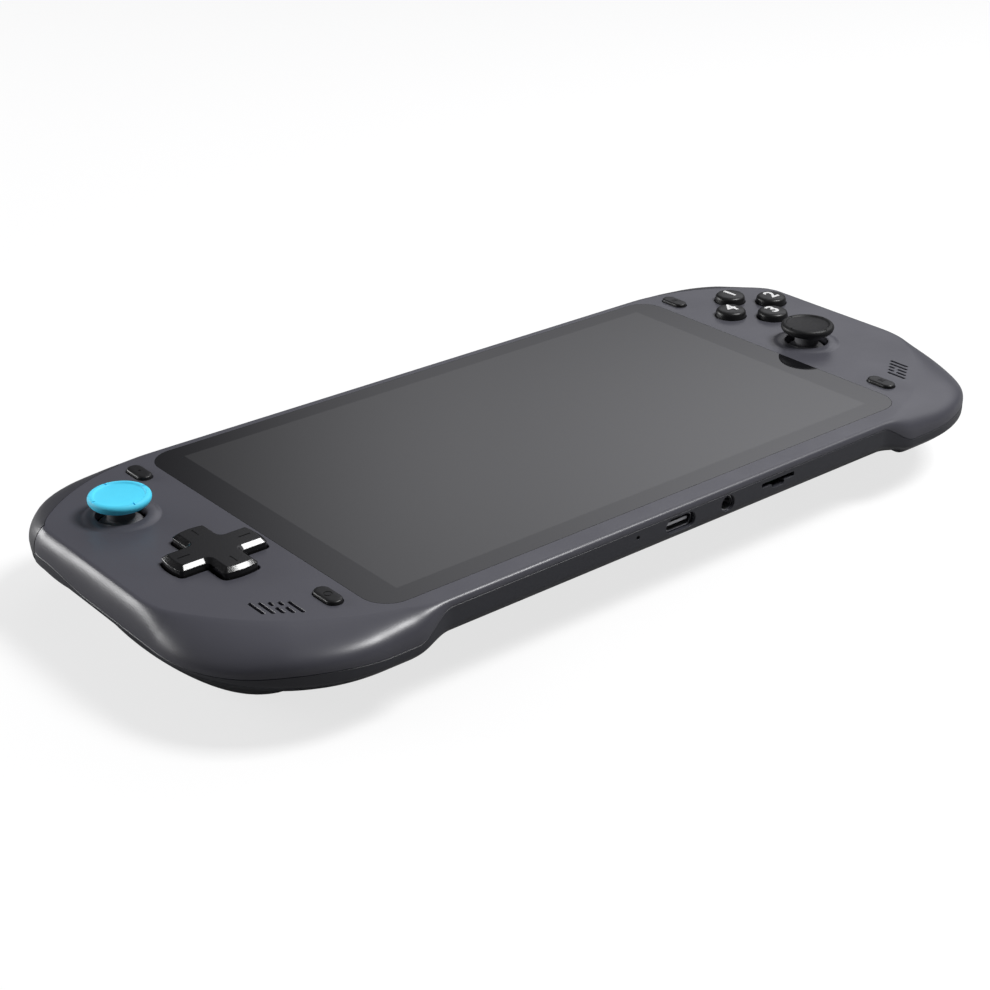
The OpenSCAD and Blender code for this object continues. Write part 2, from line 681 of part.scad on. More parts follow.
module trigger_posts() {
    for (e = [0, 1]) {
        x = e == 0 ? trigger_x - trigger_gap - trigger_post.x / 2
                   : trigger_x + trigger_width + trigger_gap + trigger_post.x / 2;
        block([trigger_post.x, 2 * trigger_post.y], [x, trigger_pivot.x],
              trigger_post_top, trigger_post_low[e]);
    }
}
module trigger_pin_rod(r) {
    translate([0, trigger_pivot.x, -trigger_pivot.y])
        rod_x(r, trigger_x - trigger_gap - trigger_post.x,
              trigger_x + trigger_width + trigger_gap + trigger_post.x);
}
module trigger_pocket() {
    inner = trigger_x - trigger_gap;
    outer = trigger_x + trigger_width + trigger_gap;
    translate([inner, trigger_pocket_y[0], -grip_depth])
        cube([outer - inner, grip_top, grip_depth - trigger_pocket_top]);
    translate([inner, trigger_pocket_y[1], -grip_depth])
        cube([outer + trigger_wing - inner, grip_top, grip_depth - trigger_pocket_top]);
}
module top_key_hole(x, length) {
    translate([x, 0, -top_key_depth]) along_y(waist_top - wall - over, waist_top + over)
        stadium(length + 2 * key_gap, top_key_width + 2 * key_gap);
}
module port_holes() {
    front = -waist_bottom - over;
    back = wall - waist_bottom + over;
    translate([usb_x, 0, -port_depth]) along_y(front, back)
        stadium(usb_size.x + 2 * port_gap, usb_size.y + 2 * port_gap);
    translate([jack_x, 0, -port_depth]) rod_y(jack_nose_r + port_gap, front, back);
    translate([card_x, 0, -card_depth]) along_y(front, back)
        square([card_width + 2 * port_gap, card_slot], center = true);
    translate([card_x, 0, -card_depth]) rod_y(scoop_r, front, scoop_t - waist_bottom);
    translate([mic_x, 0, -mic_depth]) rod_y(mic_r, front, back);
}
module rear_shell() color([0.26, 0.27, 0.31]) standing() difference() {
    union() {
        rear_form();
        both_sides() {
            swell(swell_root, grip_depth, 0);
            trigger_posts();
        }
    }
    both_sides() {
        swell(swell_root - [over, over], grip_depth - wall, wall);
        bumper_notch();
        trigger_pocket();
        trigger_pin_rod(trigger_pin_r + seat_gap);
    }
    case_places() drum(case_screw_r + port_gap, body_depth - back_wall - over, body_depth + over);
    case_places() drum(case_head_r + port_gap, body_depth - case_head_t - bond, body_depth + over);
    port_holes();
    top_key_hole(power_x, power_length);
    top_key_hole(volume_x, volume_length);
}

module screen_glass() color([0.08, 0.08, 0.09]) standing()
    translate([0, glass_y, 0]) plate(0, glass_thickness) rounded(glass_length, glass_height, glass_corner);
module display_panel() color([0.15, 0.15, 0.17]) standing()
    block([panel_length, panel_height], [0, 0], glass_thickness, glass_thickness + panel_thickness);
module chassis_plate() color([0.7, 0.71, 0.73]) standing() {
    difference() {
        union() {
            translate([-chassis_half, chassis_low, -chassis_bottom])
                cube([2 * chassis_half, chassis_high - chassis_low, chassis_thickness]);
            both_sides() translate([chassis_half - chassis_rail[1], chassis_low, -chassis_bottom])
                cube([chassis_rail[1], chassis_high - chassis_low, chassis_bottom - wall]);
            main_post_places() drum(main_post_r, chassis_bottom - chassis_thickness / 2, main_top);
        }
        main_post_places() drum(board_screw_r + seat_gap, chassis_top - over, main_top + over);
    }
}
module main_board() color([0.1, 0.35, 0.2]) standing() difference() {
    translate([-main_half, main_low, -main_bottom])
        cube([2 * main_half, main_high - main_low, board_thickness]);
    block([usb_size.x + 4 * port_gap, 2 * (-main_low - usb_back + port_gap)], [usb_x, main_low],
          main_top - over, main_bottom + over);
    block([jack_body.x + 4 * port_gap, 2 * (-main_low - jack_back + port_gap)], [jack_x, main_low],
          main_top - over, main_bottom + over);
    main_post_places() drum(board_screw_r + port_gap, main_top - over, main_bottom + over);
}
module shield_can() color([0.75, 0.76, 0.78]) standing()
    block(shield_size, shield_mid, main_bottom, main_bottom + shield_thickness);
module battery() color([0.2, 0.2, 0.22]) standing()
    block(battery_size, [0, battery_y], chassis_bottom, chassis_bottom + battery_thickness);
module control_board(stick) {
    difference() {
        plate(control_top, control_bottom) polygon(control_outline);
        translate(stick) drum(stick_clear_r, control_top - over, control_bottom + over);
        for (p = control_posts)
            translate(p) drum(board_screw_r + port_gap, control_top - over, control_bottom + over);
    }
}
module left_control_board() color([0.1, 0.35, 0.2]) standing() on_side(-1)
    control_board([left_stick_x, left_stick_y]);
module right_control_board() color([0.1, 0.35, 0.2]) standing() on_side(1)
    control_board([right_stick_x, right_stick_y]);
module ribbon() {
    translate([main_half - ribbon_lap[0], ribbon_y, -control_bottom - ribbon_thickness])
        cube([control_edge + ribbon_lap[1] - main_half + ribbon_lap[0], ribbon_width, ribbon_thickness]);
    translate([main_half - ribbon_lap[0], ribbon_y, -control_bottom - ribbon_thickness])
        cube([ribbon_plug, ribbon_width, control_bottom + ribbon_thickness - main_bottom]);
}
module left_ribbon() color([0.75, 0.5, 0.15]) standing() on_side(-1) ribbon();
module right_ribbon() color([0.75, 0.5, 0.15]) standing() on_side(1) ribbon();
module dpad_membrane() color([0.6, 0.6, 0.62]) standing() translate([-dpad_x, dpad_y, 0]) difference() {
    union() {
        plate(control_top - membrane_t, control_top)
            cross(2 * (dpad_dome_spread + dpad_dome_r), 2 * (dpad_dome_r + membrane_border[0]));
        for (a = [0 : 90 : 270])
            rotate(a) translate([dpad_dome_spread, 0, 0]) drum(dpad_dome_r, dpad_dome_top, control_top);
        drum(dpad_post_r, dpad_post_top, control_top);
    }
    translate([0, 0, -dpad_ball_depth]) sphere(r = dpad_ball_r + run_gap);
}
module face_membrane() color([0.6, 0.6, 0.62]) standing() {
    translate([face_x, face_y, 0]) plate(control_top - membrane_t, control_top)
        cross(2 * (face_spread + face_dome_r), 2 * (face_dome_r + membrane_border[1]));
    face_places() drum(face_dome_r, face_dome_top, control_top);
}
module pill_switches() color([0.8, 0.8, 0.82]) standing() both_sides() pill_places()
    block([pill_switch, pill_switch], [0, 0], pill_switch_top, control_top);
module speaker() translate([grille_x, grille_y, 0]) rotate(speaker_turn)
    block(speaker_size, [0, 0], speaker_top, control_top);
module left_speaker() color([0.12, 0.12, 0.13]) standing() on_side(-1) speaker();
module right_speaker() color([0.12, 0.12, 0.13]) standing() on_side(1) speaker();
module usb_socket() color([0.8, 0.81, 0.83]) standing() translate([usb_x, 0, -port_depth]) {
    difference() {
        along_y(-usb_face, -usb_back) stadium(usb_size.x, usb_size.y);
        along_y(-usb_face - over, -usb_back - usb_floor)
            stadium(usb_size.x - 2 * usb_wall, usb_size.y - 2 * usb_wall);
    }
    along_y(usb_tongue_in - usb_face, -usb_back - usb_floor / 2) square(usb_tongue, center = true);
}
module audio_jack() color([0.78, 0.78, 0.8]) standing() translate([jack_x, 0, -port_depth]) difference() {
    union() {
        along_y(-jack_front, -jack_back) square(jack_body, center = true);
        rod_y(jack_nose_r, -jack_face, lap - jack_front);
    }
    rod_y(jack_d / 2, -jack_face - over, jack_bore - jack_face);
}
module card_socket() color([0.75, 0.75, 0.77]) standing() difference() {
    translate([card_x - card_body.x / 2, -jack_front, -main_top])
        cube([card_body.x, jack_front - jack_back, card_body.y]);
    translate([card_x, 0, -card_depth]) along_y(-jack_front - over, -jack_back - usb_floor)
        square([card_width, card_slot], center = true);
}
module microphone() color([0.8, 0.75, 0.4]) standing()
    block([mic_size.x, mic_size.y], [mic_x, main_low + mic_size.y / 2], main_top - mic_size.z, main_top);

// Parts of a stick, about its pivot
module stick_cap_form() {
    r = stick_cap_d / 2;
    top = stick_pivot + stick_height;
    difference() {
        rotate_extrude() polygon(concat(
            [[0, neck_top]],
            [for (p = cap_under) [r - p.x, neck_top + p.y]],
            [for (p = cap_top) [r - p.x, top - p.y]],
            [[0, top - cap_dish]]));
        translate([0, 0, neck_top - over]) cylinder(r = stub_r + run_gap, h = over + stub_h + run_gap);
    }
}
module stick_shaft_form() {
    difference() {
        sphere(r = dome_r);
        sphere(r = dome_r - dome_t);
        translate([-dome_r - over, -dome_r - over, -dome_r - over])
            cube([2 * dome_r + 2 * over, 2 * dome_r + 2 * over, dome_r + over + dome_rim]);
    }
    translate([0, 0, neck_low]) cylinder(r = neck_r, h = neck_top - neck_low);
    translate([0, 0, shaft_low]) cylinder(r = shaft_r, h = dome_r - dome_t / 2 - shaft_low);
    translate([0, 0, dome_r]) cylinder(r = stub_r, h = neck_top + stub_h - dome_r);
}
module stick_rocker_form() difference() {
    union() {
        rod_y(rocker_r, -rocker_half, rocker_half);
        rod_y(pin_r, -rocker_reach, rocker_reach);
    }
    translate([0, 0, -rocker_r - over]) cylinder(r = shaft_r + run_gap, h = 2 * rocker_r + 2 * over);
}
module stick_gimbal_form() {
    difference() {
        translate([0, 0, -gimbal_half]) cylinder(r = gimbal_r, h = 2 * gimbal_half);
        translate([0, 0, -gimbal_half - over]) cylinder(r = gimbal_hole_r, h = 2 * gimbal_half + 2 * over);
        rod_y(pin_r + run_gap, -gimbal_r - over, gimbal_r + over);
    }
    for (e = [0, 1]) mirror([e, 0, 0]) rod_x(pin_r, gimbal_r - 2 * lap, gimbal_reach);
}
module stick_housing_form() difference() {
    translate([-housing_size / 2, -housing_size / 2, housing_low])
        cube([housing_size, housing_size, housing_top - housing_low]);
    translate([0, 0, housing_floor]) cylinder(r = housing_bore_r, h = housing_top - housing_floor + over);
    translate([0, 0, housing_low - over]) cylinder(r = gimbal_hole_r, h = housing_top - housing_low);
    rod_x(pin_r + run_gap, -gimbal_reach - port_gap, gimbal_reach + port_gap);
}
module at_left_stick() standing() translate([-left_stick_x, left_stick_y, -stick_pivot]) children();
module at_right_stick() standing() translate([right_stick_x, right_stick_y, -stick_pivot]) children();
module left_stick_cap() color([0.3, 0.75, 0.95]) at_left_stick() stick_cap_form();
module left_stick_shaft() color([0.15, 0.15, 0.16]) at_left_stick() stick_shaft_form();
module left_stick_rocker() color([0.85, 0.85, 0.83]) at_left_stick() stick_rocker_form();
module left_stick_gimbal() color([0.75, 0.75, 0.77]) at_left_stick() stick_gimbal_form();
module left_stick_housing() color([0.2, 0.2, 0.22]) at_left_stick() stick_housing_form();
module right_stick_cap() color([0.15, 0.15, 0.16]) at_right_stick() stick_cap_form();
module right_stick_shaft() color([0.15, 0.15, 0.16]) at_right_stick() stick_shaft_form();
module right_stick_rocker() color([0.85, 0.85, 0.83]) at_right_stick() stick_rocker_form();
module right_stick_gimbal() color([0.75, 0.75, 0.77]) at_right_stick() stick_gimbal_form();
module right_stick_housing() color([0.2, 0.2, 0.22]) at_right_stick() stick_housing_form();

// Cross pad with bevelled arms, rocking on a ball
module bevelled_bar(length, width) {
    block([length, width], [0, 0], dpad_bevel - dpad_height, dpad_under);
    skin([for (e = [0, 1])
             [for (c = [[-1, -1], [1, -1], [1, 1], [-1, 1]])
                 [c.x * (length / 2 - dpad_bevel * (1 - e)), c.y * (width / 2 - dpad_bevel * (1 - e)),
                  dpad_height - e * dpad_bevel]]],
         fan(4));
}
module dpad() color([0.2, 0.2, 0.21]) standing() translate([-dpad_x, dpad_y, 0]) difference() {
    union() {
        bevelled_bar(dpad_length, dpad_arm);
        bevelled_bar(dpad_arm, dpad_length);
        drum(dpad_flange_r, dpad_flange_top, dpad_flange_bottom);
        drum(dpad_boss_r, dpad_boss_top, dpad_boss_bottom);
        drum(dpad_hub_r, dpad_boss_top, dpad_hub_bottom);
    }
    translate([0, 0, -dpad_ball_depth]) sphere(r = dpad_ball_r + run_gap);
}
module dpad_pivot() color([0.7, 0.7, 0.72]) standing()
    translate([-dpad_x, dpad_y, -dpad_ball_depth]) sphere(r = dpad_ball_r);
module face_button(i) {
    translate(face_place(i)) {
        drum(face_d / 2, face_bevel - face_height, face_flange_bottom);
        translate([0, 0, face_height - face_bevel])
            cylinder(r1 = face_d / 2, r2 = face_d / 2 - face_bevel, h = face_bevel);
        drum(face_flange_r, key_flange_top, face_flange_bottom);
    }
}
module face_button_1() color([0.17, 0.17, 0.18]) standing() face_button(0);
module face_button_2() color([0.17, 0.17, 0.18]) standing() face_button(1);
module face_button_3() color([0.17, 0.17, 0.18]) standing() face_button(2);
module face_button_4() color([0.17, 0.17, 0.18]) standing() face_button(3);
module pill(y) translate([pill_x, y, 0]) {
    plate(-pill_height, pill_flange_bottom) rotate(90) stadium(pill_length, pill_width);
    block(pill_flange, [0, 0], key_flange_top, pill_flange_bottom);
}
module pill_top_left() color([0.2, 0.2, 0.22]) standing() on_side(-1) pill(pill_top_y);
module pill_top_right() color([0.2, 0.2, 0.22]) standing() on_side(1) pill(pill_top_y);
module pill_low_left() color([0.2, 0.2, 0.22]) standing() on_side(-1) pill(pill_low_y);
module pill_low_right() color([0.2, 0.2, 0.22]) standing() on_side(1) pill(pill_low_y);

// Length of a lug's web, from the pin into the wall of the bumper
function lug_web(x) =
    let (p = [pin_ends[0].x - up_x, pin_ends[0].y - up_y] + x * [cos(pin_turn), sin(pin_turn)],
         b = p * [sin(pin_turn), -cos(pin_turn)],
         r = upper_corner_r - lug_sink)
    sqrt(b * b - p * p + r * r) - b;
module bumper() difference() {
    union() {
        bumper_form();
        on_pin() for (x = [lug_at, pin_length - lug_at]) {
            rod_x(lug_r, x - lug_width / 2, x + lug_width / 2);
            translate([x - lug_width / 2, -lug_web(x), -lug_web_t / 2])
                cube([lug_width, lug_web(x), lug_web_t]);
        }
    }
    on_pin() rod_x(bumper_pin_r + run_gap, -bumper_pin_over, pin_length + bumper_pin_over);
}
module left_bumper() color([0.32, 0.33, 0.38]) standing() on_side(-1) bumper();
module right_bumper() color([0.32, 0.33, 0.38]) standing() on_side(1) bumper();
module left_bumper_pin() color([0.8, 0.8, 0.82]) standing() on_side(-1) bumper_pin_rod(bumper_pin_r);
module right_bumper_pin() color([0.8, 0.8, 0.82]) standing() on_side(1) bumper_pin_rod(bumper_pin_r);

// Trigger: a finger pad hung from a pin, its wing following the corner of the body
module trigger_pad() {
    polygon([each [for (p = trigger_upper) trigger_point(p, 0)],
             each [for (p = trigger_tip) trigger_point(p, 1)],
             each [for (p = trigger_inner) trigger_point(p, 0)]]);
}
// A point of the pad in y and z, from the pivot and down from it, or from the tip's depth
function trigger_point(p, from_tip) =
    [trigger_pivot.x + p.x, -p.y - (from_tip == 1 ? trigger_depth : trigger_pivot.y)];
module trigger() {
    outer = trigger_x + trigger_width;
    difference() {
        intersection() {
            union() {
                translate([trigger_x, 0, 0]) rotate([90, 0, 90])
                    linear_extrude(trigger_width + trigger_wing) trigger_pad();
                translate([0, trigger_pivot.x, -trigger_pivot.y]) rod_x(trigger_boss_r, trigger_x, outer);
            }
            union() {
                translate([up_x, up_y, 0]) drum(upper_corner_r - trigger_edge, 0, grip_depth);
                translate([trigger_x - over, 0, -grip_depth])
                    cube([up_x - trigger_x + over, grip_top - trigger_edge, grip_depth]);
            }
        }
        translate([outer, 0, -grip_depth]) cube([trigger_wing + over, trigger_wing_y, grip_depth]);
        translate([0, trigger_pivot.x, -trigger_pivot.y]) {
            rod_x(trigger_pin_r + run_gap, trigger_x - over, outer + over);
            rod_x(spring_r[1] + port_gap, trigger_x - over, trigger_x + spring_length + port_gap);
        }
    }
}
module trigger_spring() translate([0, trigger_pivot.x, -trigger_pivot.y]) difference() {
    rod_x(spring_r[1], trigger_x - trigger_gap, trigger_x + spring_length - trigger_gap);
    rod_x(spring_r[0], trigger_x - over, trigger_x + spring_length + over);
}
module left_trigger() color([0.24, 0.25, 0.29]) standing() on_side(-1) trigger();
module right_trigger() color([0.24, 0.25, 0.29]) standing() on_side(1) trigger();
module left_trigger_pin() color([0.8, 0.8, 0.82]) standing() on_side(-1) trigger_pin_rod(trigger_pin_r);
module right_trigger_pin() color([0.8, 0.8, 0.82]) standing() on_side(1) trigger_pin_rod(trigger_pin_r);
module left_trigger_spring() color([0.7, 0.7, 0.72]) standing() on_side(-1) trigger_spring();
module right_trigger_spring() color([0.7, 0.7, 0.72]) standing() on_side(1) trigger_spring();

// Keys on the top edge, kept in by flanges behind the wall
module top_key(x, length) translate([x, 0, -top_key_depth]) {
    along_y(top_key_seat - top_key_flange_t, waist_top + top_key_proud) stadium(length, top_key_width);
    along_y(top_key_seat - top_key_flange_t, top_key_seat)
        stadium(length + 2 * top_key_flange[0], top_key_width + 2 * top_key_flange[1]);
}
module power_button() color([0.2, 0.2, 0.22]) standing() top_key(power_x, power_length);
module volume_rocker() color([0.2, 0.2, 0.22]) standing() top_key(volume_x, volume_length);
module key_switches() color([0.8, 0.8, 0.82]) standing()
    for (x = [power_x, volume_x - volume_switch, volume_x + volume_switch])
        block([top_switch.x, top_switch.y], [x, chassis_high - top_switch.y / 2],
              chassis_bottom, chassis_bottom + top_switch.z);

module case_screws() color([0.55, 0.56, 0.58]) standing() case_places() {
    drum(case_screw_r, case_screw_top, body_depth - case_head_t / 2);
    drum(case_head_r, body_depth - case_head_t - bond, body_depth - bond);
}
module board_screw(under) {
    drum(board_screw_r, under - board_thickness - board_screw_grip, under + board_head_t / 2);
    drum(board_head_r, under, under + board_head_t);
}
module board_screws() color([0.6, 0.61, 0.63]) standing() {
    main_post_places() board_screw(main_bottom);
    control_post_places() board_screw(control_bottom);
}

front_shell();
rear_shell();
screen_glass();
display_panel();
chassis_plate();
main_board();
shield_can();
battery();
left_control_board();
right_control_board();
left_ribbon();
right_ribbon();
dpad_membrane();
face_membrane();
pill_switches();
left_speaker();
right_speaker();
usb_socket();
audio_jack();
card_socket();
microphone();
left_stick_cap();
left_stick_shaft();
left_stick_rocker();
left_stick_gimbal();
left_stick_housing();
right_stick_cap();
right_stick_shaft();
right_stick_rocker();
right_stick_gimbal();
right_stick_housing();
dpad();
dpad_pivot();
face_button_1();
face_button_2();
face_button_3();
face_button_4();
pill_top_left();
pill_top_right();
pill_low_left();
pill_low_right();
left_bumper();
right_bumper();
left_bumper_pin();
right_bumper_pin();
left_trigger();
right_trigger();
left_trigger_pin();
right_trigger_pin();
left_trigger_spring();
right_trigger_spring();
power_button();
volume_rocker();
key_switches();
case_screws();
board_screws();
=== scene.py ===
"""Looks of a handheld game console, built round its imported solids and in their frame.

Sizes are millimetres on the console's own face: x to the right and y to the top edge from the middle of the
screen, z out of the front glass. Form.place() takes them into the frame, in metres.
"""

import logging
import math
from dataclasses import dataclass, field
from enum import Enum
from typing import Iterable, Sequence

import bmesh
import bpy
import numpy as np
from mathutils import Matrix, Vector


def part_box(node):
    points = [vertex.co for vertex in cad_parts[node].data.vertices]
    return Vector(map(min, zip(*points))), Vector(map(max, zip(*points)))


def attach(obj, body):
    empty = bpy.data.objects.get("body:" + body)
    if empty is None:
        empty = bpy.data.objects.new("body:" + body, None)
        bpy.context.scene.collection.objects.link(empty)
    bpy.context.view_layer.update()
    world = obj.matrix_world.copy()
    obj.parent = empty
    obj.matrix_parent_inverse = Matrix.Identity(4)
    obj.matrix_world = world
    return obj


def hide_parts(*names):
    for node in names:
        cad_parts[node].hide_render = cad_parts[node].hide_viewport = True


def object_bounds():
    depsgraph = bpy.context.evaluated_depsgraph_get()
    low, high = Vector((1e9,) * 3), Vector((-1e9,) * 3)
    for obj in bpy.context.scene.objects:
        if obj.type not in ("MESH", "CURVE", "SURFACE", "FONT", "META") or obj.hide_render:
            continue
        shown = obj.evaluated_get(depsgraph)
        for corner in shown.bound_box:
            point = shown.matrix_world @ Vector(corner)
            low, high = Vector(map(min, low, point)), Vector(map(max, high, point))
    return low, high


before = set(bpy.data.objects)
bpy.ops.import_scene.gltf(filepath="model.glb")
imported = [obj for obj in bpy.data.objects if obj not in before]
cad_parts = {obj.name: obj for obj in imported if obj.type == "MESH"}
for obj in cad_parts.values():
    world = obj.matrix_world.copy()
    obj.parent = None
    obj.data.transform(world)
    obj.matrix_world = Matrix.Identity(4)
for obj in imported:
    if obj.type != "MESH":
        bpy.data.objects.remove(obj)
CAD_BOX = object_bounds()
LOG = logging.getLogger("console")
MM = 0.001
# Points closer than MERGE metres are one point. Tools reach CLEAR millimetres past what they cut.
# The radius of a fully round end falls short by TINY, so that no two points meet.
MERGE = 1e-7
CLEAR = 1.0
TINY = 0.001
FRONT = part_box("screen_glass")[1].z / MM
MIDDLE = (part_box("display_panel")[0].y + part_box("display_panel")[1].y) / 2 / MM
ROOT = "console"
Color = tuple[float, float, float]
Points = np.ndarray
Value = float | np.ndarray
Profile = Sequence[Sequence[float]]


class Side(Enum):
    """The two ends of the console, with the sign of their x."""

    LEFT = -1
    RIGHT = 1

    @property
    def word(self) -> str:
        """The side's name as the nodes use it."""
        return self.name.lower()


class Axis(Enum):
    """The axes that a profile turns about, with the order that brings z there."""

    X = (2, 0, 1)
    Z = (0, 1, 2)


class Cut(Enum):
    """What tools do to a piece: they are taken away from it or joined on to it."""

    AWAY = "DIFFERENCE"
    ON = "UNION"


def mix(first: Value, second: Value, share: Value) -> Value:
    """The value that lies a share of the way from the first to the second."""
    return first + (second - first) * share


def ease(share: Value) -> Value:
    """A share from 0 to 1 that starts and ends gently."""
    held = np.clip(share, 0, 1)
    return held * held * (3 - 2 * held)


def spot(node: str) -> Vector:
    """Middle of a node in plan, and the height of its top, on the console's face."""
    low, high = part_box(node)
    return Vector(((low.x + high.x) / 2 / MM, (low.y + high.y) / 2 / MM - MIDDLE, high.z / MM - FRONT))


class Form:
    """Makes meshes out of rings of points."""

    @staticmethod
    def place(points: Points) -> Points:
        """Takes points on the console's face into the frame."""
        return (np.asarray(points, float) + (0, MIDDLE, FRONT)) * MM

    @staticmethod
    def build(name: str, points: Points, faces: Sequence[Sequence[int]]) -> bpy.types.Object:
        """Makes an object of points on the console's face.

        Args:
            name: The object's name.
            points: Its points, one per row.
            faces: The points of each face.

        Returns:
            The object, with doubled points merged and its faces turned outwards.
        """
        data = bpy.data.meshes.new(name)
        data.from_pydata(Form.place(points).tolist(), [], [list(f) for f in faces])
        work = bmesh.new()
        work.from_mesh(data)
        bmesh.ops.remove_doubles(work, verts=work.verts, dist=MERGE)
        bmesh.ops.recalc_face_normals(work, faces=work.faces)
        work.to_mesh(data)
        work.free()
        made = bpy.data.objects.new(name, data)
        bpy.context.scene.collection.objects.link(made)
        return made

    @staticmethod
    def ladder(rings: int, around: int) -> list[list[int]]:
        """Faces between rings that follow one another, each closed on itself."""
        turn = [(j, (j + 1) % around) for j in range(around)]
        return [[i * around + a, i * around + b, (i + 1) * around + b, (i + 1) * around + a]
                for i in range(rings - 1) for a, b in turn]

    @staticmethod
    def loft(name: str, rings: Sequence[Points]) -> bpy.types.Object:
        """Makes a closed solid through rings, capped at both ends.

        Args:
            name: The object's name.
            rings: The rings in turn, of as many points each.

        Returns:
            The object.
        """
        around = len(rings[0])
        last = (len(rings) - 1) * around
        faces = Form.ladder(len(rings), around)
        faces += [list(range(around)), list(range(last, last + around))]
        return Form.build(name, np.concatenate(rings), faces)

    @staticmethod
    def lathe(name: str, profile: Profile, centre: Sequence[float], axis: Axis = Axis.Z,
              steps: int = 72) -> bpy.types.Object:
        """Turns a profile about an axis.

        Args:
            name: The object's name.
            profile: Radius and height of each point along the profile.
            centre: Where the axis runs, and the height that the profile counts from.
            axis: The direction of the axis.
            steps: Flats round the turned form.

        Returns:
            The closed object.
        """
        angle = np.linspace(0, 2 * math.pi, steps, endpoint=False)
        rings = [np.stack([r * np.cos(angle), r * np.sin(angle), np.full(steps, h)], 1)[:, axis.value]
                 + np.asarray(centre, float) for r, h in profile]
        return Form.loft(name, rings)

    @staticmethod
    def stack(name: str, outlines: Sequence[Points], heights: Sequence[float],
              centre: Sequence[float] = (0, 0)) -> bpy.types.Object:
        """Lofts flat outlines that lie at the given heights."""
        rings = [np.c_[np.asarray(o) + centre, np.full(len(o), h)] for o, h in zip(outlines, heights)]
        return Form.loft(name, rings)

    @staticmethod
    def rounded(width: float, height: float, radius: float, steps: int = 10) -> Points:
        """Draws a rectangle with round corners.

        Args:
            width: Its size along x.
            height: Its size along y.
            radius: The corners' radius.
            steps: Flats round each corner.

        Returns:
            The closed outline, round its own middle.
        """
        turn = np.radians(np.linspace(0, 90, steps + 1))
        corner = np.stack([np.cos(turn), np.sin(turn)], 1) * radius
        corner = corner + (width / 2 - radius, height / 2 - radius)
        return np.concatenate([corner, corner[::-1] * (-1, 1), -corner, corner[::-1] * (1, -1)])

    @staticmethod
    def stadium(width: float, height: float, grow: float, steps: int) -> Points:
        """Outline of a rectangle with fully round ends, grown outwards by so much."""
        size = (width + 2 * grow, height + 2 * grow)
        return Form.rounded(*size, min(size) / 2 - TINY, steps)

    @staticmethod
    def quarters(at: Vector, reach: float, size: tuple[float, float], corner: tuple[float, int],
                 heights: Sequence[float]) -> list[bpy.types.Object]:
        """Makes four box tools round a middle, a quarter turn apart.

        Args:
            at: The middle.
            reach: How far from it the boxes stand.
            size: Their size along the way out, and across it.
            corner: Radius of their corners, and the flats round each.
            heights: Where they start and end.

        Returns:
            The tools.
        """
        made = []
        for quarter in range(4):
            a = math.radians(90 * quarter)
            box = Form.rounded(*(size[::-1] if quarter % 2 else size), *corner)
            centre = (at.x + reach * math.cos(a), at.y + reach * math.sin(a))
            made.append(Form.stack("tool", [box, box], heights, centre))
        return made

    @staticmethod
    def smooth_path(points: Profile, fine: int) -> Points:
        """Draws a smooth open path through points.

        Args:
            points: The points in turn.
            fine: Steps from each point to the next.

        Returns:
            The finer path.
        """
        given = np.asarray(points, float)
        held = np.concatenate([given[:1] * 2 - given[1:2], given, given[-1:] * 2 - given[-2:-1]])
        t = np.linspace(0, 1, fine, endpoint=False)[:, None]
        parts = [((2 * b) + (c - a) * t + (2 * a - 5 * b + 4 * c - d) * t ** 2
                  + (3 * b - a - 3 * c + d) * t ** 3) / 2
                 for a, b, c, d in zip(held, held[1:], held[2:], held[3:])]
        return np.concatenate(parts + [given[-1:]])

    @staticmethod
    def soften(outline: Points, rounds: int) -> Points:
        """Cuts the corners of a closed outline, a few times over.

        Args:
            outline: The outline.
            rounds: How many times.

        Returns:
            The softer outline.
        """
        for _ in range(rounds):
            after = np.roll(outline, -1, axis=0)
            outline = np.stack([mix(outline, after, 0.25), mix(outline, after, 0.75)], 1)
            outline = outline.reshape(-1, outline.shape[-1])
        return outline

    @staticmethod
    def carve(made: bpy.types.Object, tools: Iterable[bpy.types.Object],
              how: Cut = Cut.AWAY) -> bpy.types.Object:
        """Cuts tools out of an object, or joins them on to it, and deletes the tools.

        Args:
            made: The object.
            tools: The tools.
            how: What the tools do.

        Returns:
            The object.
        """
        group = bpy.data.collections.new("tools")
        bpy.context.scene.collection.children.link(group)
        tools = list(tools)
        for tool in tools:
            group.objects.link(tool)
        step = made.modifiers.new("carve", "BOOLEAN")
        step.operand_type = "COLLECTION"
        step.collection = group
        step.operation = how.value
        step.solver = "EXACT"
        shown = made.evaluated_get(bpy.context.evaluated_depsgraph_get())
        data = bpy.data.meshes.new_from_object(shown)
        made.modifiers.clear()
        made.data = data
        for tool in tools:
            bpy.data.objects.remove(tool)
        bpy.data.collections.remove(group)
        return made

    @staticmethod
    def smooth(made: bpy.types.Object, angle: float) -> bpy.types.Object:
        """Shades an object smoothly, apart from edges sharper than an angle.

        Args:
            made: The object.
            angle: The angle, in degrees.

        Returns:
            The object.
        """
        made.data.shade_smooth()
        made.data.set_sharp_from_angle(angle=math.radians(angle))
        made.modifiers.new("weights", "WEIGHTED_NORMAL").keep_sharp = True
        return made


